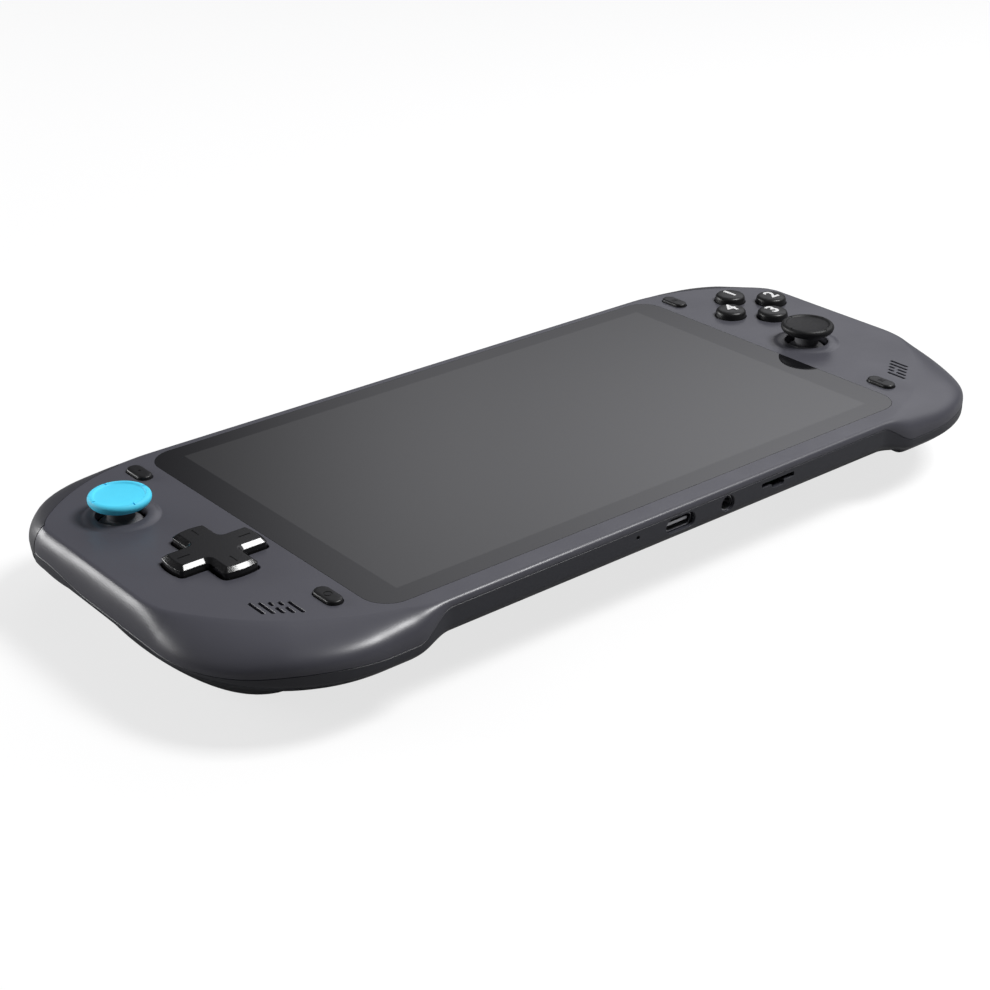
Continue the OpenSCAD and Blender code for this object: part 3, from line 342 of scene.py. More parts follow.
class Wire:
    """A node's output, on which Python's operators do a material's maths."""

    def __init__(self, nodes: "NodeSet", socket: bpy.types.NodeSocket) -> None:
        """Keeps the socket and the nodes it belongs to."""
        self.nodes = nodes
        self.socket = socket

    def maths(self, operation: str, first: "Wire | float", second: "Wire | float" = 0.0) -> "Wire":
        """Adds a node that works out one operation on two values."""
        return self.nodes.add("ShaderNodeMath", {"operation": operation}, {0: first, 1: second})

    def __add__(self, other: "Wire | float") -> "Wire":
        """This value and another together."""
        return self.maths("ADD", self, other)

    def __radd__(self, other: float) -> "Wire":
        """A number and this value together."""
        return self.maths("ADD", other, self)

    def __sub__(self, other: "Wire | float") -> "Wire":
        """This value less another."""
        return self.maths("SUBTRACT", self, other)

    def __rsub__(self, other: float) -> "Wire":
        """A number less this value."""
        return self.maths("SUBTRACT", other, self)

    def __mul__(self, other: "Wire | float") -> "Wire":
        """This value times another."""
        return self.maths("MULTIPLY", self, other)

    def __rmul__(self, other: float) -> "Wire":
        """A number times this value."""
        return self.maths("MULTIPLY", other, self)

    def __lt__(self, other: "Wire | float") -> "Wire":
        """1 where this value is the lesser, 0 elsewhere."""
        return self.maths("LESS_THAN", self, other)

    def __abs__(self) -> "Wire":
        """This value without its sign."""
        return self.maths("ABSOLUTE", self)


class NodeSet:
    """The nodes of a material or a world, round one shader."""

    def __init__(self, owner: bpy.types.Material | bpy.types.World, kind: str, output: str) -> None:
        """Clears the owner's nodes and makes its shader and output.

        Args:
            owner: The material or world.
            kind: The shader's type.
            output: The output node's type.
        """
        owner.use_nodes = True
        self.owner = owner
        self.tree = owner.node_tree
        self.tree.nodes.clear()
        self.shader = self.tree.nodes.new(kind)
        end = self.tree.nodes.new(output)
        self.tree.links.new(self.shader.outputs[0], end.inputs["Surface"])

    @classmethod
    def material(cls, name: str) -> "NodeSet":
        """The nodes of a new material with a principled shader."""
        return cls(bpy.data.materials.new(name), "ShaderNodeBsdfPrincipled", "ShaderNodeOutputMaterial")

    @classmethod
    def world(cls, name: str) -> "NodeSet":
        """The nodes of a new world with an even background."""
        return cls(bpy.data.worlds.new(name), "ShaderNodeBackground", "ShaderNodeOutputWorld")

    def feed(self, socket: bpy.types.NodeSocket, value: "Wire | float | Sequence[float]") -> None:
        """Links a wire to a socket, or sets the socket's own value.

        Args:
            socket: The socket.
            value: A wire, a number, a colour or a vector.
        """
        if isinstance(value, Wire):
            self.tree.links.new(value.socket, socket)
        elif isinstance(value, tuple) and len(value) == 3 and socket.type == "RGBA":
            socket.default_value = (*value, 1.0)
        else:
            socket.default_value = value

    def add(self, kind: str, settings: dict | None = None, sockets: dict | None = None,
            output: int | str = 0) -> Wire:
        """Adds a node of any type.

        Args:
            kind: The node's type.
            settings: Its own settings, by name.
            sockets: What goes to its inputs, by name or place.
            output: The output to hand on, by name or place.

        Returns:
            The output as a wire.
        """
        node = self.tree.nodes.new(kind)
        for name, value in (settings or {}).items():
            setattr(node, name, value)
        for name, value in (sockets or {}).items():
            self.feed(node.inputs[name], value)
        return Wire(self, node.outputs[output])

    def place(self) -> Wire:
        """Where a point lies on the piece, in metres."""
        return self.add("ShaderNodeTexCoord", output="Object")

    def split(self, vector: Wire) -> tuple[Wire, Wire, Wire]:
        """A vector's three values."""
        node = self.add("ShaderNodeSeparateXYZ", sockets={0: vector}).socket.node
        return tuple(Wire(self, out) for out in node.outputs)

    def noise(self, scale: float, detail: float = 2.0, stretch: Color = (1.0, 1.0, 1.0)) -> Wire:
        """Soft random values from 0 to 1, so many waves to the metre."""
        where = self.add("ShaderNodeMapping", sockets={"Vector": self.place(), "Scale": stretch})
        return self.add("ShaderNodeTexNoise", sockets={"Vector": where, "Scale": scale, "Detail": detail})

    def blend(self, share: Wire | float, first: Wire | Color, second: Wire | Color) -> Wire:
        """A colour that lies a share of the way from the first to the second."""
        return self.add("ShaderNodeMix", {"data_type": "RGBA", "clamp_factor": False},
                        {0: share, 6: first, 7: second}, 2)

    def bump(self, height: Wire, depth: float) -> Wire:
        """A normal for a surface with these heights, in metres at their highest."""
        return self.add("ShaderNodeBump", sockets={"Height": height, "Distance": depth})

    def ramp(self, value: Wire, low: float, high: float) -> Wire:
        """A value that goes gently from 0 at the low end to 1 at the high end."""
        return self.add("ShaderNodeMapRange", {"interpolation_type": "SMOOTHSTEP"},
                        {"Value": value, "From Min": low, "From Max": high})

    def set(self, **values: Wire | float | Color) -> None:
        """Feeds the shader's inputs, named with _ for a space."""
        for name, value in values.items():
            self.feed(self.shader.inputs[name.replace("_", " ")], value)


@dataclass(frozen=True)
class Finish:
    """A surface with mottled colour, uneven gloss and a fine grain."""

    name: str
    color: Color
    roughness: float = 0.45
    mottle: float = 0.10
    mottle_scale: float = 60.0
    gloss_spread: float = 0.08
    grain_scale: float = 3500.0
    grain_depth: float = 0.000012
    specular: float = 0.5
    metallic: float = 0.0

    def material(self) -> bpy.types.Material:
        """Makes the finish's material, once.

        Returns:
            The material.
        """
        found = bpy.data.materials.get(self.name)
        if found:
            return found
        nodes = NodeSet.material(self.name)
        nodes.set(Metallic=self.metallic, Specular_IOR_Level=self.specular)
        self.dress(nodes)
        return nodes.owner

    def shade(self, factor: float) -> Color:
        """The finish's colour, lighter or darker by a factor."""
        return tuple(min(c * factor, 1.0) for c in self.color)

    def base(self, nodes: NodeSet) -> Wire:
        """The mottled colour."""
        return nodes.blend(nodes.noise(self.mottle_scale, 3), self.shade(1 - self.mottle),
                           self.shade(1 + self.mottle))

    def dress(self, nodes: NodeSet) -> None:
        """Feeds the shader with colour, gloss and grain."""
        gloss = (nodes.noise(self.mottle_scale * 2.3) - 0.5) * (2 * self.gloss_spread) + self.roughness
        nodes.set(Base_Color=self.base(nodes), Roughness=gloss,
                  Normal=nodes.bump(nodes.noise(self.grain_scale, 3), self.grain_depth))


@dataclass(frozen=True)
class Brushed(Finish):
    """Metal with fine lines along one axis."""

    stretch: Color = (0.03, 1.0, 1.0)
    line_spread: float = 0.2
    metallic: float = 1.0
    roughness: float = 0.32

    def dress(self, nodes: NodeSet) -> None:
        """Feeds the shader with lines in the gloss and the surface."""
        lines = nodes.noise(self.grain_scale, 2, self.stretch)
        nodes.set(Base_Color=self.base(nodes), Roughness=(lines - 0.5) * self.line_spread + self.roughness,
                  Normal=nodes.bump(lines, self.grain_depth))


@dataclass(frozen=True)
class Circuit(Finish):
    """A circuit board: solder mask with paler tracks and plated dots."""

    pitch: float = 260.0
    plating: Color = (0.72, 0.6, 0.28)
    track: float = 0.06
    track_tint: tuple[float, float] = (0.5, 1.7)
    track_gloss: float = 0.08
    dot: float = 0.13
    relief: float = 0.00003

    def dress(self, nodes: NodeSet) -> None:
        """Feeds the shader with tracks and dots.

        Args:
            nodes: The material's nodes.
        """
        tracks = nodes.add("ShaderNodeTexBrick", {"offset": 0.5},
                           {"Vector": nodes.place(), "Scale": self.pitch, "Mortar Size": self.track}, "Fac")
        cells = nodes.add("ShaderNodeTexVoronoi", sockets={"Vector": nodes.place(), "Scale": self.pitch * 2})
        dots = cells < self.dot
        share, paler = self.track_tint
        mask = nodes.blend(tracks * share, self.base(nodes), self.shade(paler))
        nodes.set(Base_Color=nodes.blend(dots, mask, self.plating), Metallic=dots,
                  Roughness=self.roughness - tracks * self.track_gloss,
                  Normal=nodes.bump(tracks + dots, self.relief))


@dataclass(frozen=True)
class CoverGlass(Finish):
    """Black glass over a dark panel, a little paler where the panel lies."""

    lit: Color = (0.031, 0.031, 0.032)
    size: tuple[float, float] = (155.0, 87.2)
    row_share: float = 0.25
    row_stretch: Color = (0.02, 1.0, 1.0)

    def dress(self, nodes: NodeSet) -> None:
        """Feeds the shader with the panel's field, its pixel rows and faint smudges.

        Args:
            nodes: The material's nodes.
        """
        x, y, _ = nodes.split(nodes.place())
        inside = (abs(x) < self.size[0] / 2 * MM) * (abs(y - MIDDLE * MM) < self.size[1] / 2 * MM)
        smudge = nodes.noise(self.mottle_scale, 4)
        rows = nodes.noise(self.grain_scale, 1, self.row_stretch)
        field_color = nodes.blend(rows * self.row_share, self.lit, self.color)
        nodes.set(Base_Color=nodes.blend(inside, self.base(nodes), field_color),
                  Roughness=smudge * self.gloss_spread + self.roughness)


class Look:
    """The console's finishes."""

    SHELL = Finish("satin_front", (0.070, 0.070, 0.084), roughness=0.35, mottle=0.05, mottle_scale=45)
    # Painted shade: the rear shell is the front shell's plastic, given about half its colour so that the
    # underside reads dark
    BACK = Finish("satin_back", (0.034, 0.035, 0.043), roughness=0.38, mottle=0.06, mottle_scale=45)
    # Painted shade: the bumpers and triggers are the shell's plastic, given a darker colour for the dark band
    # along the bumper
    BUMPER = Finish("satin_bumper", (0.045, 0.045, 0.052), roughness=0.36, mottle=0.06, mottle_scale=80)
    KEYS = Finish("black_keys", (0.011, 0.011, 0.0115), roughness=0.36, mottle=0.08, mottle_scale=150,
                  specular=0.35)
    PAD = Finish("black_pad", (0.010, 0.010, 0.0105), roughness=0.18, mottle=0.08, mottle_scale=120,
                 specular=0.45)
    BLUE = Finish("soft_blue", (0.09, 0.70, 0.98), roughness=0.55, mottle=0.04, mottle_scale=300,
                  grain_depth=0.00002, specular=0.3)
    RUBBER = Finish("soft_black", (0.012, 0.012, 0.0125), roughness=0.5, mottle=0.08, mottle_scale=300,
                    grain_depth=0.00002, specular=0.3)
    NECK = Finish("black_neck", (0.13, 0.13, 0.138), roughness=0.42, mottle=0.08, mottle_scale=300)
    MARK = Finish("white_mark", (0.72, 0.72, 0.72), roughness=0.5, mottle=0.03, mottle_scale=900)
    GLASS = CoverGlass("cover_glass", (0.008, 0.008, 0.009), roughness=0.03, mottle_scale=25,
                       gloss_spread=0.03, grain_scale=9000)
    PANEL = Finish("panel_back", (0.03, 0.03, 0.032), roughness=0.25)
    STEEL = Brushed("tin_plate", (0.62, 0.63, 0.65))
    ALLOY = Brushed("chassis_alloy", (0.55, 0.56, 0.58), roughness=0.42, stretch=(1.0, 0.03, 1.0))
    CELL = Brushed("cell_foil", (0.22, 0.22, 0.24), roughness=0.5, stretch=(1.0, 1.0, 0.1))
    BOARD = Circuit("circuit_board", (0.012, 0.10, 0.04), roughness=0.35, mottle_scale=90)
    FLEX = Finish("flex_film", (0.45, 0.2, 0.03), roughness=0.3, mottle=0.2, mottle_scale=400)
    SILICONE = Finish("soft_silicone", (0.32, 0.32, 0.34), roughness=0.65, mottle=0.06)
    MOULDED = Finish("moulded_black", (0.016, 0.016, 0.018), roughness=0.5, mottle=0.1)
    NYLON = Finish("pale_nylon", (0.68, 0.68, 0.65), roughness=0.4, mottle=0.05)
    GOLD = Brushed("gold_plate", (0.75, 0.55, 0.2), roughness=0.28)


def put(made: bpy.types.Object, body: str, finish: Finish,
        nodes: Sequence[str] = ()) -> bpy.types.Object:
    """Dresses a piece, sets it on its body and reports it.

    Args:
        made: The piece.
        body: The body that it moves with.
        finish: What its surface looks like.
        nodes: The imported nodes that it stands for.

    Returns:
        The piece.
    """
    made.data.materials.clear()
    made.data.materials.append(finish.material())
    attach(made, body)
    if nodes:
        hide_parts(*nodes)
    LOG.info("piece %s on %s, %d faces", made.name, body, len(made.data.polygons))
    return made


@dataclass(frozen=True)
class Stations:
    """Places along the outline: points, inward directions and shares of grip."""

    p: Points
    d: Points
    share: Points


@dataclass(frozen=True)
class BodyForm:
    """The outline that both shells share, and the profiles of their edges."""

    half_length: float = CAD_BOX[1].x / MM
    grip_top: float = 53.6
    grip_bottom: float = 57.2
    waist_top: float = 51.8
    waist_bottom: float = 55.3
    lower_r: float = 35.5
    upper_r: float = 25.0
    lower_waist: float = 71.0
    upper_waist: float = 77.0
    lower_blend: float = 11.0
    upper_blend: float = 14.0
    body_depth: float = 12.0
    wall: float = 1.8
    back_wall: float = 1.6
    grip_seam: float = 7.3
    waist_seam: float = 1.8
    waist_low: float = 5.8
    grip_band: float = 0.9
    waist_edge: float = 1.8
    side_edge: float = 2.5
    lower_crease: tuple[float, float, float] = (63.0, 12.0, 66.5)
    upper_crease: tuple[float, float, float] = (82.1, -3.5, 54.2)
    crease_angle: float = 72.0
    back_turn: float = 22.0
    front_power: tuple[float, float] = (0.7, 1.05)
    back_power: float = 0.88
    crease_soft: tuple[float, float] = (0.35, 0.6)
    slope_rows: tuple[float, float] = (0.10, 1.7)
    lip: float = 0.13
    swell_mid: tuple[float, float] = (105.5, -6.0)
    swell_axes: tuple[float, float] = (18.5, 39.5)
    swell_root: tuple[float, float] = (9.0, 10.6)
    swell_narrow: tuple[float, float] = (0.7, 0.56)
    swell_power: tuple[float, float] = (1.6, 1.8)
    swell_blend: float = 3.0
    heel: tuple[float, float, float] = (4.2, 6.0, 2.2)
    heel_span: tuple[float, float] = (-4.0, -36.0)
    heel_blend: float = 1.0
    seam_lift: tuple[float, float, float] = (1.2, 22.0, 26.0)
    crease_blend: float = 2.4
    side_seam: tuple[float, float] = (6.2, 7.9)
    side_span: tuple[float, float] = (8.0, 27.0)
    side_band: tuple[float, float, float] = (0.8, 22.0, 8.0)
    edge_steps: tuple[int, int, int, int] = (12, 14, 5, 40)
    chord_steps: int = 64

    @property
    def lower_centre(self) -> Points:
        """Centre of the lower corner."""
        return np.array([self.half_length - self.lower_r, self.lower_r - self.grip_bottom])

    @property
    def upper_centre(self) -> Points:
        """Centre of the upper corner."""
        return np.array([self.half_length - self.upper_r, self.grip_top - self.upper_r])

    @property
    def foot(self) -> float:
        """Depth of the plane that the grips rest on."""
        return FRONT

    def corner(self, centre: Points, radius: float, angles: Points) -> Stations:
        """Stations round a corner, at angles in degrees."""
        out = np.stack([np.cos(np.radians(angles)), np.sin(np.radians(angles))], 1)
        return Stations(centre + radius * out, -out, np.ones(len(out)))

    def edge(self, upper: bool) -> Stations:
        """Goes along the right half of the lower or upper edge.

        Args:
            upper: True for the upper edge.

        Returns:
            Stations from the middle to the end of the right corner.
        """
        waist, blend = (self.upper_waist, self.upper_blend) if upper else (self.lower_waist, self.lower_blend)
        centre, radius = (self.upper_centre, self.upper_r) if upper else (self.lower_centre, self.lower_r)
        ways = (self.waist_top, self.grip_top) if upper else (-self.waist_bottom, -self.grip_bottom)
        stops = (0, waist, waist + blend, centre[0])
        x = np.concatenate([np.linspace(a, b, n, endpoint=False)
                            for a, b, n in zip(stops, stops[1:], self.edge_steps)])
        share = ease((x - waist) / blend)
        turn = 90 if upper else -90
        arc = self.corner(centre, radius, np.linspace(turn, 0, self.edge_steps[3] + 1))
        flat = np.stack([x, mix(ways[0], ways[1], share)], 1)
        inward = np.tile([0.0, -1.0 if upper else 1.0], (len(x), 1))
        return Stations(np.concatenate([flat, arc.p]), np.concatenate([inward, arc.d]),
                        np.concatenate([share, arc.share]))

    def chords(self) -> Points:
        """Shares along a line from the lower edge to the upper one, closer together at its ends."""
        return (1 - np.cos(np.linspace(0, math.pi, self.chord_steps + 1))) / 2

    def outline(self) -> Stations:
        """Goes round the body.

        Returns:
            All stations in turn: lower edge, right side, upper edge, and the same mirrored.
        """
        low, high = self.edge(False), self.edge(True)
        t = self.chords()[1:-1, None]
        side = Stations(mix(low.p[-1], high.p[-1], t), np.tile([-1.0, 0.0], (len(t), 1)), np.ones(len(t)))

        def half(of: str) -> Points:
            """One field of the stations of the right half."""
            return np.concatenate([getattr(low, of), getattr(side, of), getattr(high, of)[::-1]])

        flip = np.array([-1.0, 1.0])
        p, d, share = half("p"), half("d"), half("share")
        return Stations(np.concatenate([p, p[-2:0:-1] * flip]), np.concatenate([d, d[-2:0:-1] * flip]),
                        np.concatenate([share, share[-2:0:-1]]))

    @staticmethod
    def reach(p: Points, d: Points, circle: tuple[float, float, float]) -> Points:
        """Measures from points along directions to a circle ahead of them.

        Args:
            p: The points.
            d: Their directions.
            circle: The circle's middle and radius, on the right half.

        Returns:
            Each point's way, 0 where it has none.
        """
        flip = np.stack([np.where(p[:, 0] < 0, -1, 1), np.ones(len(p))], 1)
        q = p * flip - np.array(circle[:2])
        b = (q * d * flip).sum(1)
        c = (q * q).sum(1) - circle[2] ** 2
        disc = b * b - c
        return np.where((c > 0) & (disc > 0) & (b < 0), -b - np.sqrt(np.maximum(disc, 0)), 0)

    def width(self, s: Stations) -> Points:
        """Width of the sloping edge at each station."""
        grip = np.maximum(self.reach(s.p, s.d, self.lower_crease), self.reach(s.p, s.d, self.upper_crease))
        return mix(self.waist_edge, self.larger(grip, self.side_edge, self.crease_blend), s.share)

    @staticmethod
    def larger(first: Points, second: Points | float, blend: float) -> Points:
        """The larger of two values, with a soft change from one to the other."""
        close = np.maximum(blend - np.abs(first - second), 0) / blend
        return np.maximum(first, second) + close ** 2 * blend / 4

    @staticmethod
    def sideways(s: Stations) -> Points:
        """How far each station faces a side: 0 on the long edges, 1 on the sides."""
        return ease((np.abs(s.d[:, 0]) - 0.55) / 0.4)

    def seam(self, s: Stations) -> Points:
        """Follows the parting line, which rises along each side towards the bumper.

        Args:
            s: The stations.

        Returns:
            Its depth at each station.
        """
        climb = ease((s.p[:, 1] - self.side_span[0]) / (self.side_span[1] - self.side_span[0]))
        grip = mix(self.grip_seam, mix(self.side_seam[1], self.side_seam[0], climb), self.sideways(s))
        lift, middle, spread = self.seam_lift
        angle = np.degrees(np.arccos(np.clip(s.d[:, 1], -1, 1)))
        return mix(self.waist_seam, grip - lift * np.exp(-((angle - middle) / spread) ** 2), s.share)

    def low(self, share: Points) -> Points:
        """Depth where the back starts to turn in."""
        return mix(self.waist_low, self.grip_seam + self.grip_band, share)

    def band(self, s: Stations) -> Points:
        """Follows the band under the parting line.

        Args:
            s: The stations.

        Returns:
            The depth of its lower edge at each station.
        """
        height, middle, spread = self.side_band
        bulge = height * np.exp(-((s.p[:, 1] - middle) / spread) ** 2) * self.sideways(s)
        return self.cover_depth(s.p, np.zeros(len(s.p)), s.share) + bulge

    def cover_depth(self, plan: Points, inset: Points, share: Points) -> Points:
        """Finds the back, with the grips' swells on it.

        Args:
            plan: Points of the plan.
            inset: Their distances from the outline.
            share: Their shares of grip.

        Returns:
            The depth at each point.
        """
        rise, reach, power = self.heel
        full = 1 - (1 - np.clip(inset / reach, 0, 1)) ** power
        start, end = self.heel_span
        heel = self.low(share) + rise * full * share * ease((plan[:, 1] - start) / (end - start))
        body = self.larger(self.back_depth(inset, share), heel, self.heel_blend)
        body = np.where(inset > 0, body, self.low(share))
        swell = self.swell_depth(plan[:, 0], plan[:, 1])
        return np.minimum(self.larger(body, swell, self.swell_blend), self.foot)

    @staticmethod
    def ring(s: Stations, inset: Points | float, depth: Points | float) -> Points:
        """Points at an inset from the outline and a depth below the face."""
        plan = s.p + s.d * np.reshape(np.broadcast_to(inset, len(s.p)), (-1, 1))
        return np.c_[plan, -np.broadcast_to(depth, len(s.p))]

    def front_point(self, s: Stations, t: float) -> tuple[Points, Points]:
        """Follows the sloping edge.

        Args:
            s: The stations.
            t: A share of the way from the crease, at 0, to the parting line, at 1.

        Returns:
            The inset and the depth there, at each station.
        """
        a = np.radians(mix(90.0, self.crease_angle, s.share))
        n = mix(*self.front_power, self.sideways(s))
        inset = self.width(s) * (1 - np.cos(a * (1 - t)) ** n) / (1 - np.maximum(np.cos(a), 0) ** n)
        return inset, self.seam(s) * (1 - (np.sin(a * (1 - t)) / np.sin(a)) ** n)

    def front_edge(self, s: Stations, fine: int = 22) -> list[Points]:
        """Makes the sloping edge, with its crease softened.

        Args:
            s: The stations.
            fine: Rings on the slope.

        Returns:
            The rings, from the face to the lip of the parting line.
        """
        start, power = self.slope_rows
        crease = self.width(s)
        soft = mix(*self.crease_soft, s.share)
        inset, depth = self.front_point(s, start)
        rings = [self.ring(s, (1 - u) ** 2 * (crease + soft) + 2 * u * (1 - u) * crease + u * u * inset,
                           u * u * depth) for u in (0, 0.2, 0.4, 0.6, 0.8)]
        squeeze = 1 - self.lip / self.seam(s)
        for u in np.linspace(0, 1, fine):
            inset, depth = self.front_point(s, mix(start, 1, 1 - (1 - u) ** power))
            rings.append(self.ring(s, inset, depth * mix(1, squeeze, u)))
        return rings + [self.ring(s, self.lip, self.seam(s))]

    def back_depth(self, inset: Points, share: Points) -> Points:
        """Finds the back without the swells.

        Args:
            inset: Distances from the outline.
            share: Shares of grip.

        Returns:
            The depth at each.
        """
        c = np.clip(1 - inset / self.back_turn, 0, 1) ** (1 / self.back_power)
        rise = np.sqrt(np.maximum(1 - c * c, 0)) ** self.back_power
        return mix(self.low(share), self.body_depth, rise)

    def swell_depth(self, x: Points, y: Points) -> Points:
        """Finds the grip's swell over points of the plan.

        Args:
            x: The points' places along x.
            y: Their places along y.

        Returns:
            Its depth, less than the back's outside it.
        """
        dx, dy = np.abs(x) - self.swell_mid[0], y - self.swell_mid[1]

        def across(q: Points) -> Points:
            """Measures across the swell.

            Args:
                q: Shares of its height.

            Returns:
                1 on the swell's own outline at that height, and more outside it.
            """
            rx = self.swell_axes[0] * (1 - self.swell_narrow[0] * q ** self.swell_power[0])
            ry = self.swell_axes[1] * (1 - self.swell_narrow[1] * q ** self.swell_power[1])
            return np.hypot(dx / rx, dy / ry)

        low, high = np.zeros_like(dx), np.ones_like(dx)
        for _ in range(30):
            half = (low + high) / 2
            inside = across(half) <= 1
            low, high = np.where(inside, half, low), np.where(inside, high, half)
        ground = across(np.zeros_like(dx))
        outward = np.maximum(dx / self.swell_axes[0] / np.maximum(ground, 1e-6), 0)
        root = mix(*self.swell_root[::-1], outward)
        return mix(root, self.foot, low) - np.maximum(ground - 1, 0) * self.swell_axes[0] * 2

    def back_cover(self, s: Stations) -> tuple[Points, list[list[int]]]:
        """The back as a grid of columns from the lower edge to the upper one.

        Args:
            s: The outline's stations.

        Returns:
            The grid's points inside the outline, and its faces, in which the stations come first.
        """
        low, high = self.edge(False).p, self.edge(True).p
        n, m = len(low), self.chord_steps
        total = len(s.p)
        t = self.chords()[1:-1, None]
        columns = range(-(n - 2), n - 1)
        plan = np.concatenate([mix(low[abs(c)], high[abs(c)], t) * (1 if c >= 0 else -1, 1) for c in columns])
        after = np.roll(s.p, -1, axis=0)
        run = after - s.p
        along = ((plan[:, None] - s.p) * run).sum(2) / (run * run).sum(1)
        along = np.clip(along, 0, 1)
        gap = np.linalg.norm(plan[:, None] - s.p - along[..., None] * run, axis=2)
        near = gap.argmin(1)
        rows = np.arange(len(plan))
        share = mix(s.share[near], np.roll(s.share, -1)[near], along[rows, near])
        depth = self.cover_depth(plan, gap[rows, near], share)

        def index(c: int, k: int) -> int:
            """Finds a point's number.

            Args:
                c: The column.
                k: The row.

            Returns:
                Its number, on the outline or inside it.
            """
            a = abs(c)
            if 0 < k < m and a < n - 1:
                return total + (c + n - 2) * (m - 1) + k - 1
            right = a if k == 0 else n - 1 + k if k < m else n - 1 + m + n - 1 - a
            return right if c >= 0 else (total - right) % total

        faces = [[index(c, k), index(c + 1, k), index(c + 1, k + 1), index(c, k + 1)]
                 for c in range(-(n - 1), n - 1) for k in range(m)]
        return np.c_[plan, -depth], faces


@dataclass
class Hole:
    """A straight cut through the face, with a fine chamfer at its rim."""

    outline: Sequence[Points]
    depth: float
    centre: tuple[float, float]

    def tool(self, chamfer: float) -> bpy.types.Object:
        """The tool that cuts it; the outlines are the hole's own and the rim's."""
        plain, rim = self.outline
        return Form.stack("tool", [plain, plain, rim, rim], [-self.depth, -chamfer, 0, CLEAR], self.centre)


@dataclass
class Shoulder:
    """A bumper and the trigger under it, at one end of the top edge."""

    body: BodyForm
    side: Side
    start: float = 10.0
    tail: float = 7.5
    tail_steps: int = 7
    depth: float = 8.1
    roof: float = 2.0
    roof_tuck: float = 0.15
    inner: tuple[float, float] = (2.0, 2.0)
    tuck: float = 0.15
    foot_bevel: float = 0.3
    slope: tuple[float, float] = (0.97, 1.7)
    brow: tuple[float, float] = (0.03, 0.05)
    gap: float = 0.1
    end_gap: float = 0.45
    ledge_gap: float = 0.02
    notch_low: float = 9.05
    notch_in: float = 5.0
    notch_step: float = 2.4
    steps: int = 44
    fine: int = 18
    trigger_x: tuple[float, float] = (97.23, 113.23)
    trigger_ends: Profile = ((0.0, 0.955), (0.12, 0.98), (0.4, 1.0))
    trigger_run: tuple[float, float, int] = (2.0, 0.4, 16)
    trigger_depth: float = 20.0
    trigger_edge: float = 2.4
    trigger_gap: float = 0.35
    wing_rows: Profile = ((0.0, 1.0), (0.02, 1.0), (1.25, 1.0), (2.5, 0.99))
    wing_y: float = 45.2
    pivot: tuple[float, float] = (41.5, 8.4)
    boss_r: float = 3.0
    pin_r: float = 1.05
    pocket_top: float = 8.95
    pocket_y: tuple[float, float] = (38.1, 44.2)
    pocket_size: tuple[float, float] = (40.0, 0.8)
    pocket_wing: float = 3.0
    upper: Profile = ((0, -1), (2.2, -0.6), (3.4, 0.9), (9.6, 1.1), (10, 3.1), (9.5, 6.1))
    tip: Profile = ((7.7, -2.4), (5.5, -0.6), (2, 0), (-2.2, -0.2), (-4.2, -1.4), (-5, -3.2), (-4.2, -5))
    back: Profile = ((-2.2, 4.9), (-1.4, 2))

    def stations(self, gap: float) -> Stations:
        """The bumper's place along the outline.

        Args:
            gap: How much longer it is at each end.

        Returns:
            Its stations, from the side round the corner to the top edge.
        """
        start = self.start - math.degrees(gap / self.body.upper_r)
        arc = self.body.corner(self.body.upper_centre, self.body.upper_r,
                               np.linspace(start, 90, self.steps + 1))
        end = np.array([[self.body.upper_centre[0] - self.tail - gap, self.body.grip_top]])
        run = mix(arc.p[-1:], end, np.linspace(0, 1, self.tail_steps)[1:, None])
        return Stations(np.concatenate([arc.p, run]),
                        np.concatenate([arc.d, np.tile([0.0, -1.0], (len(run), 1))]),
                        np.ones(len(arc.p) + len(run)))

    def mirrored(self, rings: Points) -> Points:
        """Rings taken over to this side."""
        return rings * (self.side.value, 1, 1)

    def sections(self, s: Stations, rows: Sequence[tuple[Value, Value]]) -> list[Points]:
        """Closed sections, one per station, from insets and depths."""
        return list(self.mirrored(np.stack([self.body.ring(s, i, d) for i, d in rows], 1)))

    def notch(self) -> bpy.types.Object:
        """Makes the bumper's room in a shell.

        Returns:
            The tool that cuts it.
        """
        s = self.stations(self.end_gap)
        width = self.body.width(s)
        edge, step = width + self.gap, width + self.notch_step
        ledge, far = self.body.wall + self.ledge_gap, -2 * CLEAR
        rows = [(edge, -CLEAR), (edge, ledge), (step, ledge), (step, self.notch_in),
                (self.notch_in, self.notch_low), (far, self.notch_low), (far, -CLEAR)]
        return Form.loft("tool", self.sections(s, rows))

    def pocket(self) -> bpy.types.Object:
        """Makes the trigger's room in the rear shell.

        Returns:
            The tool that cuts it.
        """
        inner, outer = self.trigger_x[0] - self.trigger_gap, self.trigger_x[1] + self.trigger_gap
        length, corner = self.pocket_size
        made = []
        for far, near in ((outer, self.pocket_y[0]), (outer + self.pocket_wing, self.pocket_y[1])):
            box = Form.rounded(far - inner, length, corner)
            centre = ((inner + far) / 2 * self.side.value, near + length / 2)
            made.append(Form.stack("tool", [box, box], [-self.body.foot - CLEAR, -self.pocket_top], centre))
        return Form.carve(made[0], made[1:], Cut.ON)

    def bumper(self) -> bpy.types.Object:
        """Makes the bumper: a curved key that carries the slope of the shell on.

        Returns:
            The bumper.
        """
        s = self.stations(0)
        width = self.body.width(s)
        start = width - self.roof_tuck
        t = np.linspace(0, 1, self.fine)
        rows = [(start, self.roof)]
        rows += [(mix(start, self.inner[0], math.sin(math.pi / 2 * u)), mix(self.roof, self.body.grip_seam, u))
                 for u in t[3::3]]
        rows += [(self.inner[1], self.depth), (self.tuck + self.foot_bevel, self.depth),
                 (self.tuck, self.depth - self.foot_bevel)]
        end, power = self.slope
        rows += [self.body.front_point(s, 1 - (u * end) ** power) for u in t]
        rows += [(width - self.brow[0], self.brow[1])]
        return Form.smooth(Form.loft(f"{self.side.word}_bumper_skin", self.sections(s, rows)), 40)

